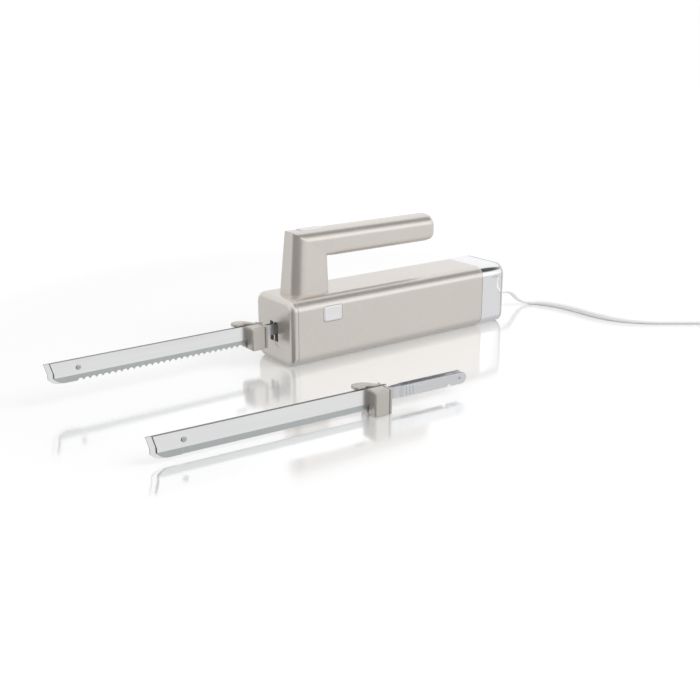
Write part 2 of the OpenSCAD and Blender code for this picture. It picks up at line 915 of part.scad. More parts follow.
module carrier() {
    difference() {
        union() {
            block([block_x0, -arm_y1, block_z0], [block_x1, -block_y0, block_z1]);
            block([(finger_x + hole_x) / 2, -arm_y1 - leaf_gap, tang_z - leaf_h / 2],
                [(finger_x + hole_x) / 2 + leaf_gap, -arm_y1, tang_z + leaf_h / 2]);
            block([pocket_end, -arm_y1, arm_z0], [wheel_x + window_r + yoke_t, -arm_y0, block_z1]);
            block([wheel_x - window_r - yoke_t, -arm_y1, wheel_z - window_r - yoke_t],
                [wheel_x + window_r + yoke_t, -arm_y0, wheel_z + window_r + yoke_t]);
        }
        block([wheel_x - window_r, -arm_y1 - over, wheel_z - window_r],
            [wheel_x + window_r, -arm_y0 + over, wheel_z + window_r]);
        block([block_x0 - over, -tang_y - blade_t - fit_clear, tang_z - tang_h / 2 - fit_clear],
            [pocket_end, -tang_y + fit_clear, tang_z + tang_h / 2 + fit_clear]);
        rod_y(-arm_y1 - over, -tang_y, tang_hole_d / 2 + fit_clear, hole_x, tang_z);
    }
}

module carrier_near() color([0.25, 0.25, 0.27])
    carrier();

module carrier_far() color([0.25, 0.25, 0.27])
    far_side()
        carrier();

// Leaf spring that rocks on the carrier's rib, with a peg through the tang's hole
module latch_spring() {
    y = arm_y1 + leaf_gap;
    block([block_x0, -y - leaf_t, tang_z - leaf_h / 2], [hole_x + leaf_h / 2, -y, tang_z + leaf_h / 2]);
    rod_y(-y, -tang_y - fit_clear, tang_hole_d / 2 - fit_clear, hole_x, tang_z);
}

module latch_spring_near() color([0.8, 0.8, 0.82])
    latch_spring();

module latch_spring_far() color([0.8, 0.8, 0.82])
    far_side()
        latch_spring();

// Worm wheel, with an eccentric on each side, half a turn apart

module wheel_2d() {
    step = 360 / wheel_teeth;
    polygon([for (i = [0 : wheel_teeth - 1], c = [[-1 / 2, -tooth_down], [-tooth_foot, -tooth_down],
        [-tooth_tip, tooth_up], [tooth_tip, tooth_up], [tooth_foot, -tooth_down]])
        (wheel_r + c[1]) * [cos((i + c[0]) * step + 90), sin((i + c[0]) * step + 90)]]);
}

module worm_wheel() color([0.92, 0.9, 0.82])
    difference() {
        union() {
            prism_y(-wheel_t / 2, wheel_t / 2)
                translate([wheel_x, wheel_z])
                    wheel_2d();
            rod_y(-cam_y1, 0, cam_r, wheel_x, wheel_z + throw);
            rod_y(0, cam_y1, cam_r, wheel_x, wheel_z - throw);
        }
        rod_y(-cam_y1 - over, cam_y1 + over, axle_r + run_clear / 2, wheel_x, wheel_z);
    }

module wheel_axle() color([0.75, 0.75, 0.77])
    rod_y(-frame_y1, frame_y1, axle_r, wheel_x, wheel_z);

// Thread of the worm: a ridge that winds round the core, one start
module thread(turns) {
    n = turns * thread_steps;
    half_foot = worm_lead * thread_share;
    half_tip = half_foot / 2;
    verts = [for (i = [0 : n])
        let (a = 360 * i / thread_steps, x = worm_lead * i / thread_steps)
        for (c = [[-half_foot, worm_root_r - thread_sink], [half_foot, worm_root_r - thread_sink],
            [half_tip, worm_tip_r], [-half_tip, worm_tip_r]])
            [x + c[0], -c[1] * sin(a), c[1] * cos(a)]];
    walls = [for (i = [0 : n - 1], k = [0 : 3])
        let (a = 4 * i + k, b = 4 * i + (k + 1) % 4)
        for (f = [[a, b + 4, b], [a, a + 4, b + 4]]) f];
    polyhedron(verts, concat(walls, [[0, 1, 2], [0, 2, 3]],
        [[4 * n, 4 * n + 2, 4 * n + 1], [4 * n, 4 * n + 3, 4 * n + 2]]));
}

// An even count of turns leaves a gap of the thread over the wheel's top tooth
module worm() color([0.8, 0.8, 0.82])
    difference() {
        union() {
            rod_x(wheel_x - worm_l / 2, wheel_x + worm_l / 2, worm_root_r, 0, shaft_z);
            translate([wheel_x - worm_turns / 2 * worm_lead, 0, shaft_z])
                thread(worm_turns);
        }
        rod_x(wheel_x - worm_l, wheel_x + worm_l, shaft_r + run_clear / 2, 0, shaft_z);
    }

module motor_shaft() color([0.75, 0.75, 0.77])
    rod_x(shaft_x0, shaft_x1, shaft_r, 0, shaft_z);

// Hanger that carries the front end of the shaft between the two arms
module worm_bearing_block() color([0.55, 0.56, 0.58])
    difference() {
        union() {
            block([hanger_x0, -arm_y0 + 2 * slide_clear, hanger_z0],
                [hanger_x0 + block_t, arm_y0 - 2 * slide_clear, frame_z1]);
            block([hanger_x0, -frame_y0, hanger_z1], [hanger_x0 + block_t, frame_y0, frame_z1]);
        }
        rod_x(hanger_x0 - over, hanger_x0 + block_t + over, shaft_r + run_clear + bush_t, 0, shaft_z);
        frame_bolts(frame_bolt_r + fit_clear);
    }

// Motor

module armature_core() color([0.5, 0.5, 0.52])
    difference() {
        rod_x(stator_x0, stator_x1, armature_r, 0, shaft_z);
        rod_x(stator_x0 - over, stator_x1 + over, shaft_r + run_clear / 2, 0, shaft_z);
        for (i = [0 : core_slots - 1])
            translate([0, 0, shaft_z])
                rotate([i * 360 / core_slots, 0, 0])
                    block([stator_x0 - over, -core_slot_w / 2, armature_r - core_slot_t],
                        [stator_x1 + over, core_slot_w / 2, armature_r + over]);
    }

module armature_windings() color([0.72, 0.42, 0.2])
    for (s = [-1, 1])
        translate([(stator_x0 + stator_x1) / 2 + s * (stator_l / 2 + fit_clear), 0, shaft_z])
            rotate([0, s * 90, 0])
                rotate_extrude()
                    polygon([[winding_r0, 0], [winding_r1, 0],
                        [winding_r1 - winding_round, coil_over - winding_round],
                        [winding_r0 + 2 * winding_round, coil_over],
                        [winding_r0, coil_over - winding_round]]);

module commutator() color([0.75, 0.45, 0.25])
    difference() {
        rod_x(commutator_x0, commutator_x0 + commutator_l, commutator_r, 0, shaft_z);
        rod_x(commutator_x0 - over, commutator_x0 + commutator_l + over, shaft_r + run_clear / 2, 0, shaft_z);
        for (i = [0 : commutator_bars - 1])
            translate([0, 0, shaft_z])
                rotate([i * 360 / commutator_bars, 0, 0])
                    block([commutator_x0 - over, -bar_groove_w / 2, commutator_r - bar_groove_t],
                        [commutator_x0 + commutator_l + over, bar_groove_w / 2, commutator_r + over]);
    }

module cooling_fan() color([0.2, 0.2, 0.21])
    difference() {
        union() {
            rod_x(fan_x0, fan_x0 + fan_l, fan_hub_r, 0, shaft_z);
            rod_x(fan_x0, fan_x0 + blade_sheet, fan_r, 0, shaft_z);
            for (i = [0 : fan_blades - 1])
                translate([0, 0, shaft_z])
                    rotate([i * 360 / fan_blades, 0, 0])
                        block([fan_x0 + blade_sheet / 2, -blade_sheet / 2, (shaft_r + fan_hub_r) / 2],
                            [fan_x0 + fan_l - blade_sheet / 2, blade_sheet / 2, fan_r - blade_sheet]);
        }
        rod_x(fan_x0 - over, fan_x0 + fan_l + over, shaft_r + run_clear / 2, 0, shaft_z);
    }

module stator_core() color([0.5, 0.5, 0.52])
    difference() {
        prism_x(stator_x0, stator_x1)
            translate([0, shaft_z])
                round_box_2d(stator_w, stator_h, stator_r);
        rod_x(stator_x0 - over, stator_x1 + over, core_r, 0, shaft_z);
        for (y = [-1, 1], z = [-1, 1])
            field_side(y, z, stator_x0 - over, stator_x1 + over, fit_clear);
        motor_bolting(motor_bolt_r + fit_clear, stator_x0 - over, stator_x1 + over);
    }

// One long side of a field coil, or the slot that it lies in
module field_side(y, z, x0, x1, grow) {
    y0 = field_r0 - (grow > 0 ? field_t : 0);
    y1 = field_r1 + grow;
    z0 = field_z0 - grow;
    z1 = field_z0 + field_h + grow;
    block([x0, min(y * y0, y * y1), shaft_z + min(z * z0, z * z1)],
        [x1, max(y * y0, y * y1), shaft_z + max(z * z0, z * z1)]);
}

// The four long bolts' places
module motor_bolting(r, x0, x1) {
    for (y = [-1, 1], z = [-1, 1])
        rod_x(x0, x1, r, y * bolt_y, shaft_z + z * bolt_z);
}

// Saddle coils: straight in the stator's slots, and bent round the windings at both ends
module field_coils() color([0.72, 0.42, 0.2])
    for (s = [-1, 1]) {
        for (y = [-1, 1])
            field_side(y, s, stator_x0 - coil_over, stator_x1 + coil_over, 0);
        for (x = [stator_x0 - coil_over, stator_x1 + fit_clear])
            difference() {
                rod_x(x, x + coil_over - fit_clear, field_r1, 0, shaft_z);
                rod_x(x - over, x + coil_over + over, field_r0, 0, shaft_z);
                block([x - over, -field_r1 - over, shaft_z - (s > 0 ? field_r1 + over : -field_z0)],
                    [x + coil_over + over, field_r1 + over, shaft_z + (s > 0 ? field_z0 : field_r1 + over)]);
            }
    }

module bracket(x0) {
    difference() {
        prism_x(x0, x0 + bracket_t)
            body_2d(wall + slide_clear);
        rod_x(x0 - over, x0 + bracket_t + over, bearing_r + fit_clear / 2, 0, shaft_z);
        for (y = [-bracket_vent_y, bracket_vent_y], z = [-bracket_vent_z, bracket_vent_z])
            rod_x(x0 - over, x0 + bracket_t + over, bracket_vent_r, y, shaft_z + z);
        motor_bolting(motor_bolt_r + fit_clear, x0 - over, x0 + bracket_t + over);
        for (y = [-lead_y, lead_y])
            rod_x(x0 - over, x0 + bracket_t + over, lead_r + slide_clear, y, lead_z);
    }
}

module motor_front_bracket() color([0.55, 0.56, 0.58])
    bracket(bracket_x0);

module motor_rear_bracket() color([0.55, 0.56, 0.58])
    bracket(rear_bracket_x0);

module motor_bolts() color([0.7, 0.7, 0.7]) {
    motor_bolting(motor_bolt_r, bracket_x0, rear_bracket_x1);
    motor_bolting(2 * motor_bolt_r, rear_bracket_x1, rear_bracket_x1 + motor_bolt_r);
}

// Bushes and ball races that the shaft turns in
module shaft_bearings() color([0.8, 0.68, 0.4]) {
    for (x = [bracket_x0, rear_bracket_x0])
        bush(x, bracket_t, bearing_r);
    bush(hanger_x0, block_t, shaft_r + bush_t);
}

module bush(x, l, r) {
    difference() {
        rod_x(x, x + l, r, 0, shaft_z);
        rod_x(x - over, x + l + over, shaft_r + run_clear, 0, shaft_z);
    }
}

module brush_place(s, grow, y0, y1) {
    x = commutator_x0 + commutator_l / 2;
    block([x - brush_w / 2 - grow, min(s * y0, s * y1), shaft_z - brush_h / 2 - grow],
        [x + brush_w / 2 + grow, max(s * y0, s * y1), shaft_z + brush_h / 2 + grow]);
}

module brush_holders() color([0.3, 0.2, 0.12])
    for (s = [-1, 1])
        difference() {
            union() {
                brush_place(s, holder_t, holder_y0, holder_y1);
                block([commutator_x0 + commutator_l / 2, min(s * holder_foot_y0, s * holder_foot_y1),
                    shaft_z - brush_h / 2 - holder_t], [rear_bracket_x0,
                    max(s * holder_foot_y0, s * holder_foot_y1), shaft_z - brush_h / 2]);
            }
            brush_place(s, fit_clear, commutator_r, holder_y1 - holder_t);
        }

module carbon_brushes() color([0.12, 0.12, 0.12])
    for (s = [-1, 1])
        brush_place(s, 0, commutator_r + slide_clear, commutator_r + slide_clear + brush_l);

// Rear fittings

module terminal_block() color([0.9, 0.88, 0.8]) {
    block([terminal_x0, -terminal_w / 2, terminal_z0], [terminal_x0 + terminal_l, terminal_w / 2,
        terminal_z0 + terminal_h]);
    for (y = [-lead_y, lead_y])
        rod_z(terminal_z0 + terminal_h, terminal_z0 + terminal_h + terminal_screw_t, terminal_screw_r,
            terminal_x0 + terminal_l / 2, y);
    for (y = [-terminal_foot_y, terminal_foot_y])
        block([rear_bracket_x1, y - terminal_foot / 2, terminal_z0],
            [terminal_x0, y + terminal_foot / 2, terminal_z0 + terminal_foot]);
}

module capacitor() color([0.85, 0.75, 0.3]) {
    z0 = wall + slide_clear;
    block([terminal_x0, capacitor_y - capacitor_w, z0],
        [terminal_x0 + capacitor_l, capacitor_y, z0 + capacitor_h]);
}

// Two wires from the switch down the column and back to the terminals, and the lead's cores
module inner_leads() color([0.2, 0.3, 0.6])
    for (s = [-1, 1]) {
        top = bar_z1 - micro_drop - micro_h;
        end_x = terminal_x0 + terminal_l / 2;
        rod_z(lead_z, top, lead_r, switch_mid, s * lead_in_y);
        bend(switch_mid, s * lead_in_y, lead_z);
        rod_y(min(s * lead_in_y, s * lead_y), max(s * lead_in_y, s * lead_y), lead_r, switch_mid, lead_z);
        bend(switch_mid, s * lead_y, lead_z);
        rod_x(switch_mid, end_x, lead_r, s * lead_y, lead_z);
        bend(end_x, s * lead_y, lead_z);
        rod_z(terminal_z0 + terminal_h + terminal_screw_t, lead_z, lead_r, end_x, s * lead_y);
        rod_z(exit_z, terminal_z0, lead_r, end_x, s * core_y);
        bend(end_x, s * core_y, exit_z);
        rod_x(end_x, clamp_x0 + clamp_wall, lead_r, s * core_y, exit_z);
    }

module bend(x, y, z) {
    translate([x, y, z])
        sphere(lead_r);
}

module cord_clamp() color([0.2, 0.2, 0.21]) {
    z0 = wall + fit_clear + spigot_t + fit_clear;
    difference() {
        block([clamp_x0, -clamp_w / 2, z0], [clamp_x0 + clamp_l, clamp_w / 2, exit_z + cord_r + clamp_over]);
        rod_x(clamp_x0 + clamp_wall, clamp_x0 + clamp_l + over, cord_r, 0, exit_z);
        for (y = [-core_y, core_y])
            rod_x(clamp_x0 - over, clamp_x0 + clamp_wall + over, lead_r + fit_clear, y, exit_z);
    }
}

module strain_relief() color([0.93, 0.93, 0.92])
    translate([0, 0, exit_z])
        rotate([0, 90, 0])
            rotate_extrude()
                polygon([[0, clamp_x0 + clamp_wall], [cord_r - fit_clear, clamp_x0 + clamp_wall],
                    [cord_r - fit_clear, clamp_x0 + clamp_l], [relief_r0, clamp_x0 + clamp_l],
                    [relief_r0, cover_seam - flange_t], [flange_r, cover_seam - flange_t],
                    [flange_r, cover_seam - fit_clear], [relief_r0, cover_seam - fit_clear],
                    [relief_r0, rear_x + relief_lead], [relief_r1, rear_x + relief_l],
                    [0, rear_x + relief_l]]);

// The lead

module cord_run() color([0.95, 0.95, 0.94])
    tube(smooth(route, route_steps), cord_r, cord_sides);

// One unbroken tube: the lower layer winds inward, the upper one outward, and the climb between
// them takes the half turn in which the spiral reverses
function coil_radius(t) = coil_r + coil_pitch * (coil_turns / 4 - min(t, coil_turns + 1 / 2 - t));
coil_x = route_end.x + cord_d;
coil_y = route_end.y - coil_radius(0);
function coil_height(t) = tie_t + cord_r + coil_pitch * max(0, min(1, 2 * t - coil_turns));
function coil_at(t) = [coil_x + coil_radius(t) * sin(360 * t), coil_y + coil_radius(t) * cos(360 * t),
    coil_height(t)];
coil_end = coil_at(coil_turns);
coil_points = concat(
    [coil_at(0) - [cord_d, 0, 0]],
    [for (i = [0 : coil_turns * coil_rings]) coil_at(i / coil_rings)],
    [for (c = tail_shares)
        [coil_end.x + c[0] * tail_l, coil_end.y, coil_end.z + c[1] * (plug_h / 2 - coil_end.z)]],
    [[coil_end.x + tail_l + cord_d, coil_end.y, plug_h / 2]]);
function least(v) = len(v) == 1 ? v[0] : let (h = floor(len(v) / 2))
    min(least([for (i = [0 : h - 1]) v[i]]), least([for (i = [h : len(v) - 1]) v[i]]));

module cord_coil() color([0.95, 0.95, 0.94]) {
    gaps = [for (i = [0 : len(coil_points) - 1], j = [i + coil_rings / 2 : len(coil_points) - 1])
        norm(coil_points[i] - coil_points[j]) - cord_d];
    echo("Least gap of the coil to itself", least(gaps));
    tube(coil_points, cord_r, coil_sides);
}

// Strap round the coil's turns, on the side away from the plug
module cord_tie() color([0.9, 0.9, 0.9]) {
    r0 = coil_radius(coil_turns / 2) - cord_r - tie_gap;
    r1 = coil_radius(1 / 2) + cord_r + tie_gap;
    z1 = coil_height(coil_turns) + cord_r + tie_gap / 2;
    translate([coil_x, coil_y, 0])
        difference() {
            block([-tie_w / 2, -r1 - tie_t, 0], [tie_w / 2, tie_t - r0, z1 + tie_t]);
            block([-tie_w / 2 - over, -r1, tie_t], [tie_w / 2 + over, -r0, z1]);
        }
}

// Two-pin plug at the end of the lead

module plug_place() {
    translate([coil_end.x + tail_l + cord_d, coil_end.y, plug_h / 2])
        children();
}

module plug_body() color([0.93, 0.93, 0.92])
    plug_place()
        hull() {
            rotate([0, 90, 0])
                cylinder(h = pin_r, r = plug_neck_r, $fn = hull_fn);
            for (y = [-1, 1])
                translate([plug_l - plug_head_l, y * (plug_w / 2 - plug_h / 2), 0])
                    rotate([0, 90, 0])
                        cylinder(h = plug_head_l, r = plug_h / 2, $fn = hull_fn);
        }

module plug_pins() color([0.8, 0.75, 0.6])
    plug_place()
        for (y = [-1, 1])
            rod_x(plug_l, plug_l + pin_l, pin_r, y * pin_gap / 2);

// Blades, in the pair's own frame; the near blade faces -Y

// Side view of a blade's steel ahead of the guard
module blade_2d(l) {
    tip = -l;
    difference() {
        union() {
            translate([tip + tip_r, guard_drop])
                square([l - tip_r + root_gap, blade_h]);
            translate([tip, guard_drop + tip_r])
                square([tip_r + over, blade_h - tip_r]);
            translate([tip + tip_r, guard_drop + tip_r])
                circle(tip_r);
        }
        polygon([[tip - over, spine_z + over], [tip - over, guard_drop], [tip + tip_rake, guard_drop],
            [tip + tip_rake, spine_z - tip_top], [tip, spine_z], [tip, spine_z + over]]);
    }
}

// The outer face is ground back along the edge
module blade_section(l) {
    y0 = -half_gap - blade_t;
    prism_x(-l, root_gap + over)
        polygon([[y0, spine_z], [y0, guard_drop + bevel_h], [-half_gap - edge_t, guard_drop],
            [-half_gap, guard_drop], [-half_gap, spine_z]]);
}

module coarse_teeth(l) {
    for (x = [-l + plain_tip + coarse_pitch / 2 : coarse_pitch : -coarse_pitch / 2])
        rod_y(-half_gap - blade_t - over, half_gap, tooth_r, x, guard_drop - tooth_drop);
}

module fine_teeth(l) {
    count = floor((l - plain_tip - fine_pitch) / fine_pitch);
    x0 = -l + plain_tip;
    prism_y(-half_gap - blade_t - over, half_gap)
        polygon(concat([[x0, guard_drop - over]],
            [for (i = [0 : count - 1], c = [[0, 0], [1 / 2, 1]])
                [x0 + (i + c[0]) * fine_pitch, guard_drop + (c[1] - fine_sink) * fine_depth]],
            [[x0 + count * fine_pitch, guard_drop - over]]));
}

// Tang: leaves the guard beside the blade, ramps outward and runs on flat
module tang() {
    z0 = tang_rise - tang_h / 2;
    z1 = tang_rise + tang_h / 2;
    a = -half_gap;
    b = -tang_y;
    difference() {
        union() {
            prism_z(z0, z1)
                polygon([[root_gap, a], [root_gap, a - blade_t], [ramp_x0, a - blade_t],
                    [ramp_x1, b - blade_t], [tang_l - tang_h / 2, b - blade_t], [tang_l - tang_h / 2, b],
                    [ramp_x1, b], [ramp_x0, a]]);
            rod_y(b - blade_t, b, tang_h / 2, tang_l - tang_h / 2, tang_rise);
            for (i = [0 : ridges - 1])
                block([ramp_x1 + ridge_w * 2 * i, b - blade_t - ridge_t, z0 + ridge_inset],
                    [ramp_x1 + ridge_w * (2 * i + 1), b - blade_t, z1 - ridge_inset]);
        }
        rod_y(b - blade_t - over, b + over, tang_hole_d / 2, tang_hole_x, tang_rise);
        rod_y(b - blade_t - over, b + over, notch_r, notch_x, z0);
    }
}

module blade(l, fine, slotted) {
    difference() {
        union() {
            intersection() {
                prism_y(-half_gap - blade_t, -half_gap)
                    blade_2d(l);
                blade_section(l);
            }
            block([0, -half_gap - blade_t, guard_drop], [guard_l, -half_gap, spine_z]);
            tang();
        }
        if (fine)
            fine_teeth(l);
        else
            coarse_teeth(l);
        if (slotted) {
            w = rivet_r + slide_clear;
            reach = 2 * throw + slide_clear;
            block([rivet_x - reach, -half_gap - blade_t - over, rivet_z - w],
                [rivet_x + reach, half_gap, rivet_z + w]);
            for (s = [-1, 1])
                rod_y(-half_gap - blade_t - over, half_gap, w, rivet_x + s * reach, rivet_z);
        } else
            rod_y(-half_gap - blade_t - over, half_gap, rivet_r + fit_clear / 3, rivet_x, rivet_z);
    }
}

// The rivet is fast in the near blade and runs in the far blade's slot
module rivet() {
    y = half_gap + blade_t;
    rod_y(-y, y, rivet_r, rivet_x, rivet_z);
    rod_y(-y - rivet_head_t, -y, rivet_head_r, rivet_x, rivet_z);
    rod_y(y + slide_clear, y + slide_clear + rivet_head_t, rivet_head_r, rivet_x, rivet_z);
    rod_y(y, y + slide_clear, rivet_r, rivet_x, rivet_z);
}

// Guard block moulded on the outside of a blade
module guard() {
    y0 = -half_gap - blade_t;
    prism_y(y0 - guard_w, y0)
        translate([(guard_l - rim_l) / 2, guard_h / 2])
            round_box_2d(guard_l - rim_l, guard_h, guard_r);
    prism_y(y0 - guard_w + rim_t, y0)
        translate([guard_l / 2, guard_h / 2])
            round_box_2d(guard_l, guard_h, guard_r);
}

// Thumb horn of the far guard: an arch off the top of the block that bends forward over both spines
module horn() {
    y0 = -half_gap - blade_t;
    top_z = spine_z + horn_gap + horn_t;
    intersection() {
        difference() {
            rod_y(y0 - horn_w, -y0, horn_r, horn_x, top_z - horn_r);
            rod_y(y0 - horn_w - over, over - y0, horn_r - horn_t, horn_x, top_z - horn_r);
        }
        prism_z(guard_h - horn_t, top_z + over)
            intersection() {
                translate([0, -horn_w / 2])
                    round_box_2d(2 * horn_reach, horn_w - 2 * y0, horn_end_r);
                union() {
                    translate([-horn_reach, y0 - horn_w])
                        square([2 * horn_reach, horn_w]);
                    translate([-horn_reach, y0 - horn_w])
                        square([horn_reach - horn_back, horn_w - 2 * y0]);
                }
            }
    }
}

// The mounted pair and the spare pair

module mounted() {
    translate([pair_x, 0, pair_z])
        children();
}

module spare() {
    translate([spare_x, spare_y, 0])
        rotate([0, 0, spare_turn])
            children();
}

module blade_near() color([0.86, 0.87, 0.88])
    mounted()
        blade(blade_l - tip_lead, false, false);

module blade_far() color([0.8, 0.81, 0.83])
    mounted()
        far_side()
            blade(blade_l, false, true);

module guard_near() color([0.7, 0.68, 0.64])
    mounted()
        guard();

module guard_far() color([0.7, 0.68, 0.64])
    mounted()
        far_side() {
            guard();
            horn();
        }

module blade_rivet() color([0.6, 0.6, 0.62])
    mounted()
        rivet();

module spare_blade_near() color([0.86, 0.87, 0.88])
    spare()
        blade(blade_l - tip_lead, true, false);

module spare_blade_far() color([0.8, 0.81, 0.83])
    spare()
        far_side()
            blade(blade_l, true, true);

module spare_guard_near() color([0.7, 0.68, 0.64])
    spare()
        guard();

module spare_guard_far() color([0.7, 0.68, 0.64])
    spare()
        far_side() {
            guard();
            horn();
        }

module spare_rivet() color([0.6, 0.6, 0.62])
    spare()
        rivet();

housing_sleeve();
front_cap();
rear_band();
rear_cover();
handle_shell();
handle_cover();
handle_screws();
switch_button();
switch_spring();
micro_switch();
release_button_near();
release_button_far();
release_spring_near();
release_spring_far();
gear_frame_near();
gear_frame_far();
frame_screws();
tang_guide();
carrier_near();
carrier_far();
latch_spring_near();
latch_spring_far();
worm_wheel();
wheel_axle();
worm();
motor_shaft();
worm_bearing_block();
armature_core();
armature_windings();
commutator();
cooling_fan();
stator_core();
field_coils();
motor_front_bracket();
motor_rear_bracket();
motor_bolts();
shaft_bearings();
brush_holders();
carbon_brushes();
terminal_block();
capacitor();
inner_leads();
cord_clamp();
strain_relief();
cord_run();
cord_coil();
cord_tie();
plug_body();
plug_pins();
blade_near();
blade_far();
guard_near();
guard_far();
blade_rivet();
spare_blade_near();
spare_blade_far();
spare_guard_near();
spare_guard_far();
spare_rivet();
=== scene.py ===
import math

import bmesh
import bpy
from mathutils import Matrix, Vector


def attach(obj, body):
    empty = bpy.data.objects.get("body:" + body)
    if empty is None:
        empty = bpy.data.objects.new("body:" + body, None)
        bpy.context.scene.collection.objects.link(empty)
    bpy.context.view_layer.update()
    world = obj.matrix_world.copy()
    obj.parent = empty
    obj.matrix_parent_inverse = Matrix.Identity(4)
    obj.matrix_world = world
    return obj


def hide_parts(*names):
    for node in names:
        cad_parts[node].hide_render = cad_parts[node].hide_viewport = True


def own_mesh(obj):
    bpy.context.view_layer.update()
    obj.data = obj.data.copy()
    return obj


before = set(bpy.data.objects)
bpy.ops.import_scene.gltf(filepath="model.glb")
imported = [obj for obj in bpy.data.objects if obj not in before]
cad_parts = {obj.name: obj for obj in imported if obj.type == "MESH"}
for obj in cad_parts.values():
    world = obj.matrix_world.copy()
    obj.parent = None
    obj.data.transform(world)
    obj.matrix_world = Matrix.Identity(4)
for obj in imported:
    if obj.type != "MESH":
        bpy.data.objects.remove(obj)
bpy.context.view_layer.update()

# Camera: it stands in front of the knife, on the side of the near release button, and looks down along
# the housing. Its place and lens follow from the edges of the housing, the handle and the blades.
mm = 0.001
frame_px = 700
focal_px = 1001.98
camera_turn = 36.57
camera_drop = 17.71
camera_place = (-583.35, -728.35, 283.77)
camera_lens = bpy.data.cameras.new("camera")
camera_lens.sensor_width = 36
camera_lens.lens = camera_lens.sensor_width * focal_px / frame_px
camera_lens.clip_start = 0.01
camera = bpy.data.objects.new("camera", camera_lens)
camera.location = Vector(camera_place) * mm
camera.rotation_euler = (math.radians(90 - camera_drop), 0, math.radians(-camera_turn))
bpy.context.scene.collection.objects.link(camera)
bpy.context.scene.camera = camera

# Mains lead: round white flexible cord, 6 mm thick. It drops from the strain relief to the table, runs
# away in a loose bend, and its spare length is wound in a flat coil that ends in the plug.
lead_d = 6
lead_route = [(153.5, 0, 22), (157, 0, 22), (161, 0, 22), (169, 0, 19.5), (177, 2, 14.5), (185, 4, 9),
              (193, 4, 5), (201, 0, 3), (208, -8, 3), (213, -20, 3), (216, -34, 3), (217, -50, 3),
              (217, -66, 3), (218, -82, 3), (222, -98, 3), (230, -112, 3), (242, -125, 3),
              (257, -136.5, 3), (271, -147, 3), (280, -153.5, 3), (289, -158, 3.4), (298, -160, 3.8),
              (303, -160, 3.8), (308, -160, 3.8)]
coil_turns = 5
coil_r = 34
coil_gap = 0.5
tail_l = 46
tail_shares = ((0.25, 0), (0.5, 0), (0.68, 0.2), (0.84, 0.75), (1, 1))
plug_h = 13
coil_x, coil_y = lead_route[-1][0] + lead_d, -202.125
coil_pitch = lead_d + coil_gap


def bent(points, steps):
    """The smooth line through a list of points, with a number of steps between each two"""
    line = []
    for i in range(len(points) - 1):
        a, b, c, d = (Vector(points[min(max(i + k, 0), len(points) - 1)]) for k in (-1, 0, 1, 2))
        for k in range(steps):
            t = k / steps
            line.append(0.5 * (2 * b + (c - a) * t + (2 * a - 5 * b + 4 * c - d) * t ** 2
                               + (3 * b - a - 3 * c + d) * t ** 3))
    return line + [Vector(points[-1])]


def coil_point(turn):
    """A point of the coil: the turns go inward on the table, then outward again on top of them"""
    radius = coil_r + coil_pitch * (coil_turns / 4 - min(turn, coil_turns + 0.5 - turn))
    rise = min(max(2 * turn - coil_turns, 0), 1)
    angle = 2 * math.pi * turn
    return Vector((coil_x + radius * math.sin(angle), coil_y + radius * math.cos(angle),
                   lead_route[-1][2] + coil_pitch * rise))


coil_steps = 60
coil = [coil_point(i / coil_steps) for i in range(coil_turns * coil_steps + 1)]
coil_end = coil[-1]
tail = [coil_end + Vector((x * tail_l, 0, z * (plug_h / 2 - coil_end.z))) for x, z in tail_shares]
plug_place = Vector((coil_end.x + tail_l + lead_d, coil_end.y, plug_h / 2))
lead_steps = 6
lead_line = bent(lead_route, lead_steps) + coil + bent([coil_end] + tail + [plug_place], lead_steps)[1:]
shine_swing = 0.15
grain_depth = 0.0002


def plain_finish(name, colour, rough, metal=0.0, mottle=0.03, patch=60.0, grain=2500.0, relief=0.04,
                 along=(1, 1, 1)):
    """A finish with slow patches of tone, and a fine grain in its shine and its relief"""
    material = bpy.data.materials.new(name)
    material.use_nodes = True
    nodes, links = material.node_tree.nodes, material.node_tree.links
    shader = nodes["Principled BSDF"]
    shader.inputs["Metallic"].default_value = metal
    where = nodes.new("ShaderNodeTexCoord")
    turned = nodes.new("ShaderNodeMapping")
    turned.inputs["Scale"].default_value = along
    links.new(where.outputs["Object"], turned.inputs["Vector"])
    slow = nodes.new("ShaderNodeTexNoise")
    slow.inputs["Scale"].default_value = patch
    fine = nodes.new("ShaderNodeTexNoise")
    fine.inputs["Scale"].default_value = grain
    fine.inputs["Detail"].default_value = 4
    tone = nodes.new("ShaderNodeMix")
    tone.data_type = "RGBA"
    tone.inputs[6].default_value = (*(c * (1 - mottle) for c in colour), 1)
    tone.inputs[7].default_value = (*(min(c * (1 + mottle), 1) for c in colour), 1)
    shine = nodes.new("ShaderNodeMapRange")
    shine.inputs["To Min"].default_value = rough * (1 - shine_swing)
    shine.inputs["To Max"].default_value = min(rough * (1 + shine_swing), 1)
    bump = nodes.new("ShaderNodeBump")
    bump.inputs["Strength"].default_value = relief
    bump.inputs["Distance"].default_value = grain_depth
    for noise in (slow, fine):
        links.new(turned.outputs["Vector"], noise.inputs["Vector"])
    links.new(slow.outputs["Fac"], tone.inputs["Factor"])
    links.new(tone.outputs[2], shader.inputs["Base Color"])
    links.new(fine.outputs["Fac"], shine.inputs["Value"])
    links.new(shine.outputs["Result"], shader.inputs["Roughness"])
    links.new(fine.outputs["Fac"], bump.inputs["Height"])
    links.new(bump.outputs["Normal"], shader.inputs["Normal"])
    return material


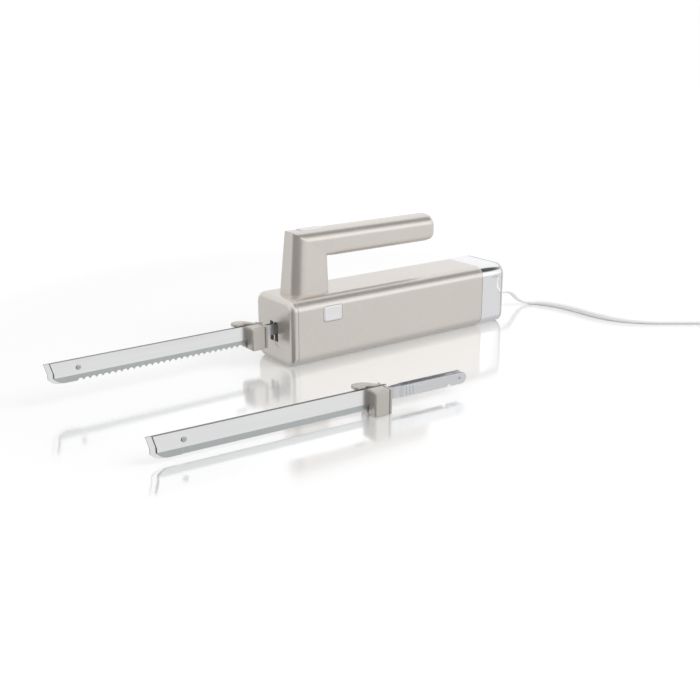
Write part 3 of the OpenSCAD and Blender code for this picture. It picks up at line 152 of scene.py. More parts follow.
lead_skin = plain_finish("lead_skin", (0.985, 0.985, 0.98), 0.32, mottle=0.012, grain=900, relief=0.02)
lead_curve = bpy.data.curves.new("mains_lead", "CURVE")
lead_curve.dimensions = "3D"
lead_curve.bevel_depth = lead_d / 2 * mm
lead_curve.bevel_resolution = 5
lead_curve.use_fill_caps = True
lead_spline = lead_curve.splines.new("POLY")
lead_spline.points.add(len(lead_line) - 1)
for spot, point in zip(lead_spline.points, lead_line):
    spot.co = (*(point * mm), 1)
lead_spline.use_smooth = True
lead_curve.materials.append(lead_skin)
lead = bpy.data.objects.new("mains_lead", lead_curve)
bpy.context.scene.collection.objects.link(lead)
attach(lead, "housing")
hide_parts("cord_run", "cord_coil")

# Strain relief: white rubber sleeve moulded on the lead. It tapers from the rear cover to the lead and
# has ribs round it, so that it bends in an even curve. Its collar sits against the rear cover.
rear_x = 127.5
relief_l = 26
relief_r0, relief_r1 = 5.2, 3.6
relief_end_r = 2.8
relief_z = 22
collar_x0, collar_in_r, collar_r, collar_rim_r = 124.9, 5, 7.6, 7.1
collar_proud, collar_edge = 0.9, 0.5
rib_count, rib_sides, rib_section_sides = 7, 40, 8
rib_proud, rib_sink = 0.55, 0.1
rib_lead, rib_tail = 4, 3


def loft(mesh, rings, loop=False, material=0):
    """Adds to a mesh the skin through rings of matching points, given in millimetres"""
    rows = [[mesh.verts.new(Vector(p) * mm) for p in ring] for ring in rings]
    count = len(rows[0])
    faces = []
    for a, b in zip(rows, rows[1:] + rows[:1] if loop else rows[1:]):
        for k in range(count):
            faces.append(mesh.faces.new((a[k], a[(k + 1) % count], b[(k + 1) % count], b[k])))
    if not loop:
        faces.append(mesh.faces.new(list(reversed(rows[0]))))
        faces.append(mesh.faces.new(rows[-1]))
    bmesh.ops.recalc_face_normals(mesh, faces=faces)
    for face in faces:
        face.material_index = material
    return faces


def circle(u, v, radius, sides):
    """Outline of a circle round a place, as points (u, v)"""
    angles = [2 * math.pi * k / sides for k in range(sides)]
    return [(u + radius * math.cos(angle), v + radius * math.sin(angle)) for angle in angles]


def turned_x(mesh, profile, y=0, z=0, sides=40, material=0):
    """Adds a turned shape round a line along X, from a list of places and radii"""
    loft(mesh, [[(x, *spot) for spot in circle(y, z, r, sides)] for x, r in profile], material=material)


def made(name, mesh, materials, crease=32):
    """An object from a mesh, smooth except over edges sharper than the crease angle"""
    data = bpy.data.meshes.new(name)
    mesh.to_mesh(data)
    mesh.free()
    for material in materials:
        data.materials.append(material)
    data.polygons.foreach_set("use_smooth", [True] * len(data.polygons))
    data.set_sharp_from_angle(angle=math.radians(crease))
    piece = bpy.data.objects.new(name, data)
    bpy.context.scene.collection.objects.link(piece)
    return piece


def settled(piece):
    """Turns a piece with modifiers into a plain mesh"""
    view = bpy.context.evaluated_depsgraph_get()
    data = bpy.data.meshes.new_from_object(piece.evaluated_get(view))
    piece.modifiers.clear()
    piece.data = data
    return piece


def fitted(piece, body, slot, *nodes):
    """Fits a finished piece to the body that it moves with"""
    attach(piece, body)
    if nodes:
        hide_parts(*nodes)
    return piece


relief_mesh = bmesh.new()
collar = [(collar_x0, collar_in_r), (collar_x0, collar_r), (rear_x + collar_proud - collar_edge, collar_r),
          (rear_x + collar_proud, collar_rim_r), (rear_x + collar_proud, relief_r0)]
cone = [(rear_x + relief_l * t / 12, relief_r0 + (relief_r1 - relief_r0) * t / 12) for t in range(1, 13)]
turned_x(relief_mesh, collar + cone + [(rear_x + relief_l, relief_end_r)], z=relief_z)
relief_skin = plain_finish("relief_skin", (0.84, 0.84, 0.83), 0.42, mottle=0.015, grain=1500)
relief = made("strain_relief_sleeve", relief_mesh, [relief_skin])


def ringed_ribs(name, mesh_object, count, sizes, material):
    """Ribs round the relief: rings along a line, each a small loop swept round, joined to its mesh"""
    tree = bpy.data.node_groups.new(name, "GeometryNodeTree")
    tree.interface.new_socket("Geometry", in_out="INPUT", socket_type="NodeSocketGeometry")
    wanted = [(tree.interface.new_socket("Count", in_out="INPUT", socket_type="NodeSocketInt"), count)]
    for label, size in sizes.items():
        socket = tree.interface.new_socket(label, in_out="INPUT", socket_type="NodeSocketFloat")
        wanted.append((socket, size * mm))
    tree.interface.new_socket("Geometry", in_out="OUTPUT", socket_type="NodeSocketGeometry")
    nodes, links = tree.nodes, tree.links
    given, result = nodes.new("NodeGroupInput"), nodes.new("NodeGroupOutput")
    line = nodes.new("GeometryNodeMeshLine")
    line.mode = "END_POINTS"
    start, end = nodes.new("ShaderNodeCombineXYZ"), nodes.new("ShaderNodeCombineXYZ")
    for corner, label in ((start, "First"), (end, "Last")):
        links.new(given.outputs[label], corner.inputs["X"])
        links.new(given.outputs["Height"], corner.inputs["Z"])
    links.new(given.outputs["Count"], line.inputs["Count"])
    links.new(start.outputs["Vector"], line.inputs["Start Location"])
    links.new(end.outputs["Vector"], line.inputs["Offset"])
    hoop, section = (nodes.new("GeometryNodeCurvePrimitiveCircle") for _ in range(2))
    for ring, sides in ((hoop, rib_sides), (section, rib_section_sides)):
        ring.inputs["Resolution"].default_value = sides
        ring.inputs["Radius"].default_value = 1
    index = nodes.new("GeometryNodeInputIndex")
    share, size = nodes.new("ShaderNodeMath"), nodes.new("ShaderNodeMapRange")
    share.operation = "DIVIDE"
    share.inputs[1].default_value = count - 1
    links.new(index.outputs["Index"], share.inputs[0])
    links.new(share.outputs[0], size.inputs["Value"])
    links.new(given.outputs["First radius"], size.inputs["To Min"])
    links.new(given.outputs["Last radius"], size.inputs["To Max"])
    placed, tube = nodes.new("GeometryNodeInstanceOnPoints"), nodes.new("GeometryNodeCurveToMesh")
    real, dressed = nodes.new("GeometryNodeRealizeInstances"), nodes.new("GeometryNodeSetMaterial")
    ratio = nodes.new("ShaderNodeMath")
    ratio.operation = "DIVIDE"
    links.new(given.outputs["Thickness"], ratio.inputs[0])
    links.new(given.outputs["First radius"], ratio.inputs[1])
    shrunk = nodes.new("GeometryNodeTransform")
    triple = nodes.new("ShaderNodeCombineXYZ")
    for side in "XYZ":
        links.new(ratio.outputs[0], triple.inputs[side])
    links.new(section.outputs["Curve"], shrunk.inputs["Geometry"])
    links.new(triple.outputs["Vector"], shrunk.inputs["Scale"])
    links.new(hoop.outputs["Curve"], tube.inputs["Curve"])
    links.new(shrunk.outputs["Geometry"], tube.inputs["Profile Curve"])
    links.new(line.outputs["Mesh"], placed.inputs["Points"])
    links.new(tube.outputs["Mesh"], placed.inputs["Instance"])
    placed.inputs["Rotation"].default_value = (0, math.pi / 2, 0)
    links.new(size.outputs["Result"], placed.inputs["Scale"])
    links.new(placed.outputs["Instances"], real.inputs["Geometry"])
    dressed.inputs["Material"].default_value = material
    links.new(real.outputs["Geometry"], dressed.inputs["Geometry"])
    joined = nodes.new("GeometryNodeJoinGeometry")
    links.new(given.outputs["Geometry"], joined.inputs["Geometry"])
    links.new(dressed.outputs["Geometry"], joined.inputs["Geometry"])
    links.new(joined.outputs["Geometry"], result.inputs["Geometry"])
    modifier = mesh_object.modifiers.new(name, "NODES")
    modifier.node_group = tree
    for socket, value in wanted:
        modifier[socket.identifier] = value
    settled(mesh_object)
    mesh_object.data.polygons.foreach_set("use_smooth", [True] * len(mesh_object.data.polygons))
    return mesh_object


ringed_ribs("relief_ribs", relief, rib_count, {
    "First": rear_x + rib_lead, "Last": rear_x + relief_l - rib_tail, "Height": relief_z,
    "First radius": relief_r0 - rib_sink, "Last radius": relief_r1 + rib_sink, "Thickness": rib_proud},
            relief_skin)
fitted(relief, "housing", "white_lead", "strain_relief")

# Plug: a flat two-pin plug moulded on the end of the lead, in the same white as the lead. Its body
# swells from the lead to a rounded head with grip ribs, and the pins are half covered in white.
plug_l = 30
plug_w = 26
plug_neck_r = 4.4
plug_steps = (0, 0.03, 0.1, 0.2, 0.3, 0.4, 0.5, 0.6, 0.7, 0.8, 0.9, 0.96, 0.985, 1)
hair = 0.02
swell_share, edge_share, edge_inset = 0.7, 0.96, 0.8
grip_count, grip_start, grip_pitch = 5, 0.62, 1.9
grip_w, grip_top_w, grip_h, grip_z, grip_inset = 1, 0.6, 0.9, 4.6, 1.3
grip_in, grip_out = 0.1, 0.75
pin_r, pin_l, pin_gap = 2, 19, 18.6
pin_sleeve_l = 10
pin_cover = ((-0.5, 0.99), (pin_sleeve_l, 0.99), (pin_sleeve_l + 0.2, 0.9))
pin_bare = ((pin_sleeve_l, 0.86), (pin_l - 1.2, 0.86), (pin_l - 0.5, 0.7), (pin_l - hair, 0.25))


def rounded(width, height, radius, steps=10):
    """Outline of a rectangle with round corners, as points (u, v) in order round its middle"""
    outline = []
    for quarter in range(4):
        u = (width / 2 - radius) * (1 if quarter in (0, 3) else -1)
        v = (height / 2 - radius) * (1 if quarter in (0, 1) else -1)
        for k in range(steps + 1):
            angle = math.pi / 2 * (quarter + k / steps)
            outline.append((u + radius * math.cos(angle), v + radius * math.sin(angle)))
    return outline


plug_mesh = bmesh.new()
plug_rings = []
for share in plug_steps:
    swell = min(share / swell_share, 1)
    swell = swell * swell * (3 - 2 * swell)
    edge = edge_inset * max(0, (share - edge_share) / (1 - edge_share)) ** 2
    width = 2 * plug_neck_r + (plug_w - 2 * plug_neck_r) * swell - 2 * edge
    height = 2 * plug_neck_r + (plug_h - 2 * plug_neck_r) * swell - 2 * edge
    plug_rings.append([(plug_place.x + plug_l * share, plug_place.y + u, plug_place.z + v)
                       for u, v in rounded(width, height, height / 2 - hair)])
loft(plug_mesh, plug_rings)
grip_outline = ((-grip_w / 2, 0), (-grip_top_w / 2, grip_h), (grip_top_w / 2, grip_h), (grip_w / 2, 0))
for row in range(grip_count):
    x = plug_place.x + plug_l * grip_start + grip_pitch * row
    for side in (-1, 1):
        loft(plug_mesh, [[(x + u, plug_place.y + side * (plug_w / 2 - grip_inset) * share,
                           plug_place.z + grip_z + v) for u, v in grip_outline]
                         for share in (grip_in, grip_out)])
plug = made("mains_plug", plug_mesh, [plain_finish("plug_skin", (0.85, 0.85, 0.84), 0.3, mottle=0.01)])
fitted(plug, "housing", "white_lead", "plug_body")

pin_mesh = bmesh.new()
pin_x = plug_place.x + plug_l
for side in (-1, 1):
    for profile, material in ((pin_cover, 1), (pin_bare, 0)):
        turned_x(pin_mesh, [(pin_x + x, pin_r * share) for x, share in profile],
                 plug_place.y + side * pin_gap / 2, plug_place.z, 24, material)
pins = made("mains_plug_pins", pin_mesh, [
    plain_finish("pin_nickel", (0.78, 0.72, 0.52), 0.22, metal=1, mottle=0.03, relief=0.02),
    plain_finish("pin_sleeve_white", (0.84, 0.84, 0.83), 0.4, mottle=0.01)])
fitted(pins, "housing", "pin_metal", "plug_pins")

# Lead tie: a woven strap that holds the stored turns together. It goes round all of them at one place
# and closes on itself with a short overlap.
tie_w = 8
tie_t = 0.8
tie_gap = 0.4
tie_corner_r = 3.2
tie_inner = tie_t * 0.95
tie_out = coil_r + coil_pitch * (coil_turns / 4 - 0.5) + lead_d / 2 + tie_gap
tie_in = coil_r - coil_pitch * coil_turns / 4 - lead_d / 2 - tie_gap
tie_top = coil_end.z + lead_d / 2 + tie_gap / 2


def strap_ring(across, inset):
    """One edge line of the strap, a rounded rectangle round the bundle, on one face of the strap"""
    middle_y = coil_y - (tie_out + tie_in) / 2
    middle_z = (tie_top + tie_t) / 2
    width, height = tie_out - tie_in + 2 * tie_t - 2 * inset, tie_top + tie_t - 2 * inset
    return [(coil_x + across, middle_y + u, middle_z + v)
            for u, v in rounded(width, height, tie_corner_r - inset, 6)]


tie_mesh = bmesh.new()
loft(tie_mesh, [strap_ring(-tie_w / 2, 0), strap_ring(tie_w / 2, 0), strap_ring(tie_w / 2, tie_inner),
                strap_ring(-tie_w / 2, tie_inner)], loop=True)
woven_strap = plain_finish("woven_strap", (0.72, 0.72, 0.71), 0.85, mottle=0.12, patch=2200, grain=1800,
                           relief=0.5, along=(1, 0.25, 0.25))
tie = made("lead_tie_strap", tie_mesh, [woven_strap])
fitted(tie, "housing", "tie_strap", "cord_tie")

# Housing sleeve: a drawn aluminium profile with large round edges, painted in a satin warm silver. It
# has a window in each side for the release buttons.
body_w, body_h, body_r = 59, 60, 10.5
wall = 2.2
front_x = -127.5
front_seam = front_x + 7
band_seam = 99
cover_seam = 125
seam_chamfer = 0.25
release_x, release_z = -83.7, 44
release_l, release_h, release_r = 19.8, 13.7, 2.2
window_gap = 0.35
cut_over, cut_past = 2, 1
coat_share, coat_rough = 0.12, 0.18
flake_scale, flake_low, flake_high = 4200, 0.93, 1.04


def painted_finish(name, colour, rough, metal=0.75):
    """Satin metallic paint: fine bright flakes under a thin clear coat, with a slight unevenness"""
    material = plain_finish(name, colour, rough, metal, mottle=0.02, patch=35, grain=5200, relief=0.05)
    nodes, links = material.node_tree.nodes, material.node_tree.links
    shader = nodes["Principled BSDF"]
    shader.inputs["Coat Weight"].default_value = coat_share
    shader.inputs["Coat Roughness"].default_value = coat_rough
    where = nodes.new("ShaderNodeTexCoord")
    flakes = nodes.new("ShaderNodeTexVoronoi")
    flakes.inputs["Scale"].default_value = flake_scale
    spread = nodes.new("ShaderNodeMapRange")
    spread.inputs["To Min"].default_value = flake_low
    spread.inputs["To Max"].default_value = flake_high
    lit = nodes.new("ShaderNodeVectorMath")
    lit.operation = "SCALE"
    tone = shader.inputs["Base Color"].links[0].from_socket
    links.new(where.outputs["Object"], flakes.inputs["Vector"])
    links.new(flakes.outputs["Color"], spread.inputs["Value"])
    links.new(tone, lit.inputs[0])
    links.new(spread.outputs["Result"], lit.inputs["Scale"])
    links.new(lit.outputs["Vector"], shader.inputs["Base Color"])
    return material


body_paint = painted_finish("body_paint", (0.73, 0.69, 0.645), 0.28)


def body_ring(x, inset=0.0):
    """Section of the housing at a place along it, drawn in by an inset on every side"""
    return [(x, u, body_h / 2 + v) for u, v in
            rounded(body_w - 2 * inset, body_h - 2 * inset, body_r - inset, 16)]


def edge_round(radius, steps):
    """Depths and insets of a quarter round, from the full section to the end face"""
    angles = [math.pi / 2 * k / steps for k in range(steps + 1)]
    return [(radius * (1 - math.sin(angle)), radius * (1 - math.cos(angle))) for angle in angles]


def prism_y(mesh, outline, y0, y1):
    """Adds a prism along Y from an outline of points (x, z)"""
    loft(mesh, [[(x, y, z) for x, z in outline] for y in (y0, y1)])


def cut(piece, tool):
    """Cuts a piece with a mesh"""
    data = bpy.data.meshes.new("tool")
    tool.to_mesh(data)
    tool.free()
    for material in piece.data.materials:
        data.materials.append(material)
    other = bpy.data.objects.new("tool", data)
    bpy.context.scene.collection.objects.link(other)
    change = piece.modifiers.new("cut", "BOOLEAN")
    change.operation = "DIFFERENCE"
    change.solver = "EXACT"
    change.object = other
    bpy.context.view_layer.update()
    settled(piece)
    bpy.data.objects.remove(other)
    return piece


def evened(piece, crease=32):
    """Gives a cut piece even shading: broad faces stay flat, and sharp edges stay crisp"""
    piece.data.polygons.foreach_set("use_smooth", [True] * len(piece.data.polygons))
    piece.data.set_sharp_from_angle(angle=math.radians(crease))
    change = piece.modifiers.new("even", "WEIGHTED_NORMAL")
    change.keep_sharp = True
    return settled(piece)


sleeve_mesh = bmesh.new()
loft(sleeve_mesh, [body_ring(front_seam, seam_chamfer), body_ring(front_seam + seam_chamfer),
                   body_ring(band_seam - seam_chamfer), body_ring(band_seam, seam_chamfer),
                   body_ring(band_seam, wall), body_ring(front_seam, wall)], loop=True)
sleeve = made("housing_profile", sleeve_mesh, [body_paint])
for side in (-1, 1):
    window = bmesh.new()
    prism_y(window, [(release_x + u, release_z + v) for u, v in
                     rounded(release_l + 2 * window_gap, release_h + 2 * window_gap, release_r + window_gap)],
            side * (body_w / 2 - wall - cut_over), side * (body_w / 2 + cut_over))
    cut(sleeve, window)
evened(sleeve)
fitted(sleeve, "housing", "body_finish", "housing_sleeve")

# Front cap: moulded in plastic and painted like the sleeve. Its rim is rounded, and its flat face has
# the two upright slots that the blades go in by, in a shallow round recess.
front_edge_r = 5
slot_in, slot_out, slot_z, slot_h, slot_r = 0.9, 6.2, 28, 18, 0.6
recess_r, recess_depth = 9, 0.3
recess_y, recess_z = -slot_out - 1.5, slot_z - slot_h * 0.24
cap_mesh = bmesh.new()
cap_rings = [body_ring(front_x + depth, inset) for depth, inset in reversed(edge_round(front_edge_r, 12))]
cap_rings += [body_ring(front_seam - seam_chamfer), body_ring(front_seam - hair, seam_chamfer)]
loft(cap_mesh, cap_rings)
cap = made("front_cap_moulding", cap_mesh, [body_paint])
recess = bmesh.new()
turned_x(recess, [(front_x - cut_past, recess_r), (front_x + recess_depth, recess_r)], recess_y, recess_z, 48)
cut(cap, recess)
for side in (-1, 1):
    slot = bmesh.new()
    middle = side * (slot_in + slot_out) / 2
    loft(slot, [[(x, middle + u, slot_z + v) for u, v in rounded(slot_out - slot_in, slot_h, slot_r, 3)]
                for x in (front_x - cut_past, front_seam + cut_past)])
    cut(cap, slot)
evened(cap)
fitted(cap, "housing", "body_finish", "front_cap")

# Rear band: a bright plated ring with the same section as the sleeve. It is pushed into the sleeve's
# end, and the rear cover closes it.
band_front = ((0, 0.35), (0.3, 0.06), (0.6, 0))
band_back = ((0.5, 0), (0.2, 0.06), (0, 0.3), (0, wall))
chrome_plate = plain_finish("chrome_plate", (0.9, 0.905, 0.92), 0.05, metal=1, mottle=0.01, grain=400,
                            relief=0.01)
band_mesh = bmesh.new()
band_rings = [body_ring(band_seam + depth, inset) for depth, inset in band_front]
band_rings += [body_ring(cover_seam - depth, inset) for depth, inset in band_back]
loft(band_mesh, band_rings + [body_ring(band_seam, wall)], loop=True)
band = made("rear_band_ring", band_mesh, [chrome_plate])
fitted(band, "housing", "bright_band", "rear_band")

# Rear cover: moulded in grey plastic, with a small rounding, air vents over the motor and the hole that
# the strain relief comes out of.
cover_grey = plain_finish("cover_grey", (0.52, 0.5, 0.48), 0.45, mottle=0.02, grain=3500, relief=0.12)
rear_edge_r, cover_chamfer = 1, 0.15
relief_hole_r = 7.7
vent_count, vent_pitch, vent_w, vent_h, vent_r = 7, 5, 2, 12, 0.9
vent_z = body_h / 2 + 14
cover_mesh = bmesh.new()
rim = [body_ring(rear_x - depth, inset) for depth, inset in edge_round(rear_edge_r, 5)]
loft(cover_mesh, [body_ring(cover_seam, cover_chamfer), body_ring(cover_seam + cover_chamfer)] + rim)
cover = made("rear_cover_moulding", cover_mesh, [cover_grey])
hole = bmesh.new()
turned_x(hole, [(cover_seam - cut_past, relief_hole_r), (rear_x + cut_past, relief_hole_r)], 0, relief_z, 48)
cut(cover, hole)
for k in range(vent_count):
    vent = bmesh.new()
    loft(vent, [[(x, (k - vent_count // 2) * vent_pitch + u, vent_z + v)
                 for u, v in rounded(vent_w, vent_h, vent_r, 4)]
                for x in (cover_seam - cut_past, rear_x + cut_past)])
    cut(cover, vent)
evened(cover)
fitted(cover, "housing", "grey_plastic", "rear_cover")

# Handle: one hollow moulding painted like the body. A column leans forward to its foot on the sleeve,
# meets the bar in a crisp mitre, and the bar ends in a rounded free end over the housing.
bar_w, bar_h, bar_r, bar_soft_r = 25.3, 24.7, 5.8, 10
bar_z0 = body_h + 31.3
bar_z1 = bar_z0 + bar_h
column_x0 = front_x + 16.5
column_l = 35.8
bar_x1 = column_x0 + 163
column_lean, column_spread = 4.8, 2
bar_end_r = 8
column_steps, mitre_steps = (0, 0.02, 0.15, 0.3, 0.45, 0.6, 0.75, 0.88, 0.97), (0, 0.05, 0.2, 0.5, 0.8)
bar_places = (70, 90, 110, 130)
mitre_fade = 16
switch_x, switch_l, switch_w, switch_r = -87.8, 25, 9, 3
switch_gap, pocket_depth = 0.3, 6


def handle_section(length, width, inset=0.0, stretch=1.0):
    """Section of the handle, softer at its front and top corners, where u is below zero"""
    soft = [(u * stretch, v) for u, v in rounded(length / stretch, width, bar_soft_r - inset / 2, 12)]
    tight = rounded(length, width, bar_r - inset / 2, 12)
    return [a if a[0] < 0 else b for a, b in zip(soft, tight)]


def column_ring(share):
    """Section of the column, from its foot, share 0, to the mitre, share 1"""
    top = handle_section(column_l, bar_w, stretch=column_l / bar_h)
    foot = handle_section(column_l + column_lean, bar_w + 2 * column_spread, stretch=column_l / bar_h)
    points = []
    for (u, v), (fu, fv) in zip(top, foot):
        x = column_x0 + column_l / 2 + u
        end = Vector((x, v, bar_z1 - (u + column_l / 2) * bar_h / column_l))
        start = Vector((column_x0 + (column_l - column_lean) / 2 + fu, fv, body_h))
        points.append(start.lerp(end, share))
    return points


def bar_ring(x, inset=0.0, fade=1.0):
    """Section of the bar; just behind the mitre it still has the mitre's slant and elliptic corners"""
    points = []
    tall = handle_section(bar_h - 2 * inset, bar_w - 2 * inset, inset)
    slanted = handle_section(column_l, bar_w, stretch=column_l / bar_h)
    for (u, v), (su, sv) in zip(tall, slanted):
        mitre = Vector((column_x0 + column_l / 2 + su, sv, bar_z1 - (su + column_l / 2) * bar_h / column_l))
        points.append(mitre.lerp(Vector((x, v, (bar_z0 + bar_z1) / 2 - u)), fade))
    return points


handle_mesh = bmesh.new()
handle_rings = [column_ring(share) for share in column_steps]
handle_rings += [bar_ring(column_x0 + column_l + mitre_fade, 0, share) for share in mitre_steps]
handle_rings += [bar_ring(column_x0 + place) for place in (column_l + mitre_fade, *bar_places)]
handle_rings += [bar_ring(bar_x1 - 1.5 * bar_end_r)]
handle_rings += [bar_ring(bar_x1 - depth, inset) for depth, inset in edge_round(bar_end_r, 8)]
loft(handle_mesh, handle_rings)
handle = made("handle_moulding", handle_mesh, [body_paint])
pocket = bmesh.new()
loft(pocket, [[(switch_x + u, v, z) for u, v in
               rounded(switch_l + 2 * switch_gap, switch_w + 2 * switch_gap, switch_r + switch_gap)]
              for z in (bar_z1 - pocket_depth, bar_z1 + cut_over)])
cut(handle, pocket)
evened(handle, 28)
fitted(handle, "housing", "body_finish", "handle_shell")

# Handle cover: a thin plate that closes the bar from below. It is moulded in grey and lies flush in
# the bar's underside, with a fine shadow gap round it.
plate_margin, plate_r = 3.8, 2.5
plate_x0, plate_x1 = column_x0 + column_l + plate_margin, bar_x1 - 2 * plate_margin
plate_w = bar_w - 2 * plate_margin
plate_edge = ((0.4, 0.35), (0.02, 0.3), (-0.12, 0.3), (-0.2, 0.55))
plate_mesh = bmesh.new()
plate_rings = []
for z, inset in plate_edge:
    plate_rings.append([((plate_x0 + plate_x1) / 2 + u, v, bar_z0 + z) for u, v in
                        rounded(plate_x1 - plate_x0 - 2 * inset, plate_w - 2 * inset, plate_r - inset, 6)])
loft(plate_mesh, plate_rings)
plate = made("handle_cover_plate", plate_mesh, [cover_grey])
fitted(plate, "housing", "grey_plastic", "handle_cover")

# Switch: a long smooth button in the top of the handle, under the thumb. Its top is slightly crowned,
# so its near slope is light and its far slope grey.
button_white = plain_finish("button_white", (0.74, 0.74, 0.745), 0.28, mottle=0.01, grain=1500, relief=0.02)
switch_crown = ((-2.7, 0), (0.25, 0), (0.45, 0.15), (0.62, 0.55), (0.75, 1.3), (0.85, 2.4), (0.9, 3.6))
switch_mesh = bmesh.new()
switch_rings = []
for rise, inset in switch_crown:
    corner = max(switch_r - inset * 0.6, 0.6)
    switch_rings.append([(switch_x + u, v, bar_z1 + rise) for u, v in
                         rounded(switch_l - 2 * inset, switch_w - 2 * inset, corner)])
loft(switch_mesh, switch_rings)
switch = made("switch_rocker", switch_mesh, [button_white], crease=50)
fitted(switch, "switch", "button_plastic", "switch_button")

# Release buttons: one in each side of the housing. Each is a light tablet with a broad bevel all round
# and a very slightly hollow face, and it moves inwards through its window.
release_proud = 0.8
release_steps = ((4.1, 0), (0.75, 0), (0.5, 0.2), (0.1, 1.25), (0.02, 1.45), (0.05, 1.7), (0.2, 2.8),
                 (0.25, 4.5))


def release_tablet(name, side, body, node):
    """A release button; side is -1 on the near side and 1 on the far side"""
    face = body_w / 2 + release_proud
    tablet = bmesh.new()
    rings = []
    for depth, inset in release_steps:
        corner = max(release_r - inset * 0.7, 0.5)
        rings.append([(release_x + u, side * (face - depth), release_z + v) for u, v in
                      rounded(release_l - 2 * inset, release_h - 2 * inset, corner, 8)])
    loft(tablet, rings)
    return fitted(made(name, tablet, [button_white], crease=24), body, "button_plastic", node)


release_tablet("release_tablet_near", -1, "release_near", "release_button_near")
release_tablet("release_tablet_far", 1, "release_far", "release_button_far")

# Blades: two long strips of hardened steel that lie back to back and slide on each other. Each has a
# spine and edges in dark steel, a polished face, a ground bevel along the edge and a tang that steps out
# behind it.
blade_l, tip_lead = 181, 4.5
blade_h, blade_t, blade_gap = 18, 1.2, 0.3
bevel_h, edge_t = 5.5, 0.3
coarse_pitch, fine_pitch, fine_depth = 5.4, 2, 0.6
plain_tip, tip_r, tip_rake, tip_top = 21, 12, 2.6, 9
tip_swell, tip_corner_x, tip_corner_z = 0.06, 0.1, 0.35
tooth_r = coarse_pitch * 0.44
tooth_sink = tooth_r * 0.25
edge_start, guard_lap = 1, 0.2
guard_drop = 3.7
spine_z = guard_drop + blade_h
spine_edge, spine_land = 0.12, 0.2
guard_l, guard_h, guard_w = 16.5, 20.7, 8.6
tang_h, tang_l, tang_rise, tang_step, tang_hole_r = 9.7, 94.4, 13.9, 2.05, 2
tang_x0, tang_places = 2, (4, 22)
ramp_x0, ramp_x1, ramp_sway = guard_l + 1, 34, 0.08
latch_x, notch_x, notch_r = tang_l - 8.4, tang_l - 17.6, 1.9
rib_n, rib_pitch, rib_w, rib_half, rib_draft, rib_rise = 3, 3.2, 1.6, 3.85, 0.3, 0.12
rivet_x, rivet_r, rivet_z = -154, 1.5, guard_drop + blade_h * 0.62
rivet_fit, track_gap, track_reach = 0.05, 0.3, 7.3
blade_cut, tang_cut = (-3, 1), (-5, 0)
polish, ground, dark_edge, flat = range(4)
mounted_place = (Vector((-156, 0, 16.3)), 0)
spare_place = (Vector((-140.5, -154.7, 0)), math.radians(-3.6))


def brushed_finish(name, colour, rough, stretch=0.02, relief=0.1):
    """Steel with fine scratches along the blade and a slow change of tone"""
    return plain_finish(name, colour, rough, 1, 0.05, patch=240, grain=9000, relief=relief,
                        along=(stretch, 1, 1))


blade_polish = brushed_finish("blade_polish", (0.985, 0.99, 0.995), 0.2)
blade_ground = plain_finish("blade_ground", (0.57, 0.595, 0.6), 0.36, 1, 0.06, 300, 7000, 0.18, (1, 1, 0.05))
# The spine, the edges, the tip's outline and the tang's edges get this dark steel colour, much darker than
# the faces.
blade_dark_edge = plain_finish("blade_dark_edge", (0.26, 0.26, 0.27), 0.42, 1, 0.1, 500, 4000, 0.25)
tang_steel = brushed_finish("tang_steel", (0.76, 0.77, 0.785), 0.27)
blade_finishes = [blade_polish, blade_ground, blade_dark_edge, tang_steel]


def edge_height(x, length, fine):
    """Height of the cutting edge at a place along the blade, with its teeth"""
    if x > -edge_start or x < plain_tip - length:
        return guard_drop
    if fine:
        share = ((x + length - plain_tip) / fine_pitch) % 1
        return guard_drop + fine_depth * (1 - abs(2 * share - 1))
    off = (x + length - plain_tip) % coarse_pitch - coarse_pitch / 2
    if abs(off) >= tooth_r:
        return guard_drop
    return max(guard_drop, guard_drop - tooth_sink + math.sqrt(tooth_r ** 2 - off ** 2))


def blade_outline(length, fine):
    """Places along a blade with the heights of its edge there, from the guard to the tip"""
    steps = 6 if fine else 16
    pitch = fine_pitch if fine else coarse_pitch
    outline = [(guard_l, guard_drop), (guard_lap, guard_drop), (hair - edge_start, guard_drop)]
    count = int((length - plain_tip - edge_start) / pitch) * steps
    for k in range(count, -1, -1):
        x = plain_tip - length + pitch * k / steps
        if x < -edge_start:
            outline.append((x, edge_height(x, length, fine)))
    tip_x, tip_z = tip_r - length, guard_drop + tip_r
    last = math.asin((tip_r - tip_rake) / tip_r)
    for angle in [last * k / 14 for k in range(15)]:
        outline.append((tip_x - tip_r * math.sin(angle), tip_z - tip_r * math.cos(angle)))
    outline.append((tip_rake - length - tip_swell, spine_z - tip_top))
    outline.append((tip_corner_x - length, spine_z - tip_corner_z))
    return outline


def blade_skin(mesh, length, fine):
    """The blade's steel ahead of its guard, on the -Y side of the pair"""
    inner, outer = -blade_gap / 2, -blade_gap / 2 - blade_t
    rings = []
    for x, low in blade_outline(length, fine):
        bevel_z = min(max(guard_drop + bevel_h, low + hair), spine_z - spine_land)
        share = min(max((low - guard_drop) / bevel_h, 0), 1)
        thin = inner - edge_t + (outer - inner + edge_t) * share
        rings.append([(x, inner, low), (x, thin, low), (x, outer, bevel_z), (x, outer, spine_z - spine_edge),
                      (x, outer + spine_edge, spine_z), (x, inner, spine_z)])
    faces = loft(mesh, rings)
    for face in faces:
        middle = face.calc_center_median() / mm
        if len(face.verts) == 4 and face.normal.y < -0.5:
            face.material_index = ground if middle.z < guard_drop + bevel_h else polish
        else:
            face.material_index = dark_edge if abs(face.normal.y) < 0.5 else polish


def tang_side(x):
    """How far a tang has stepped out at a place behind the guard"""
    share = min(max((x - ramp_x0) / (ramp_x1 - ramp_x0), 0), 1)
    return tang_step * (share - ramp_sway * math.sin(4 * math.pi * share))


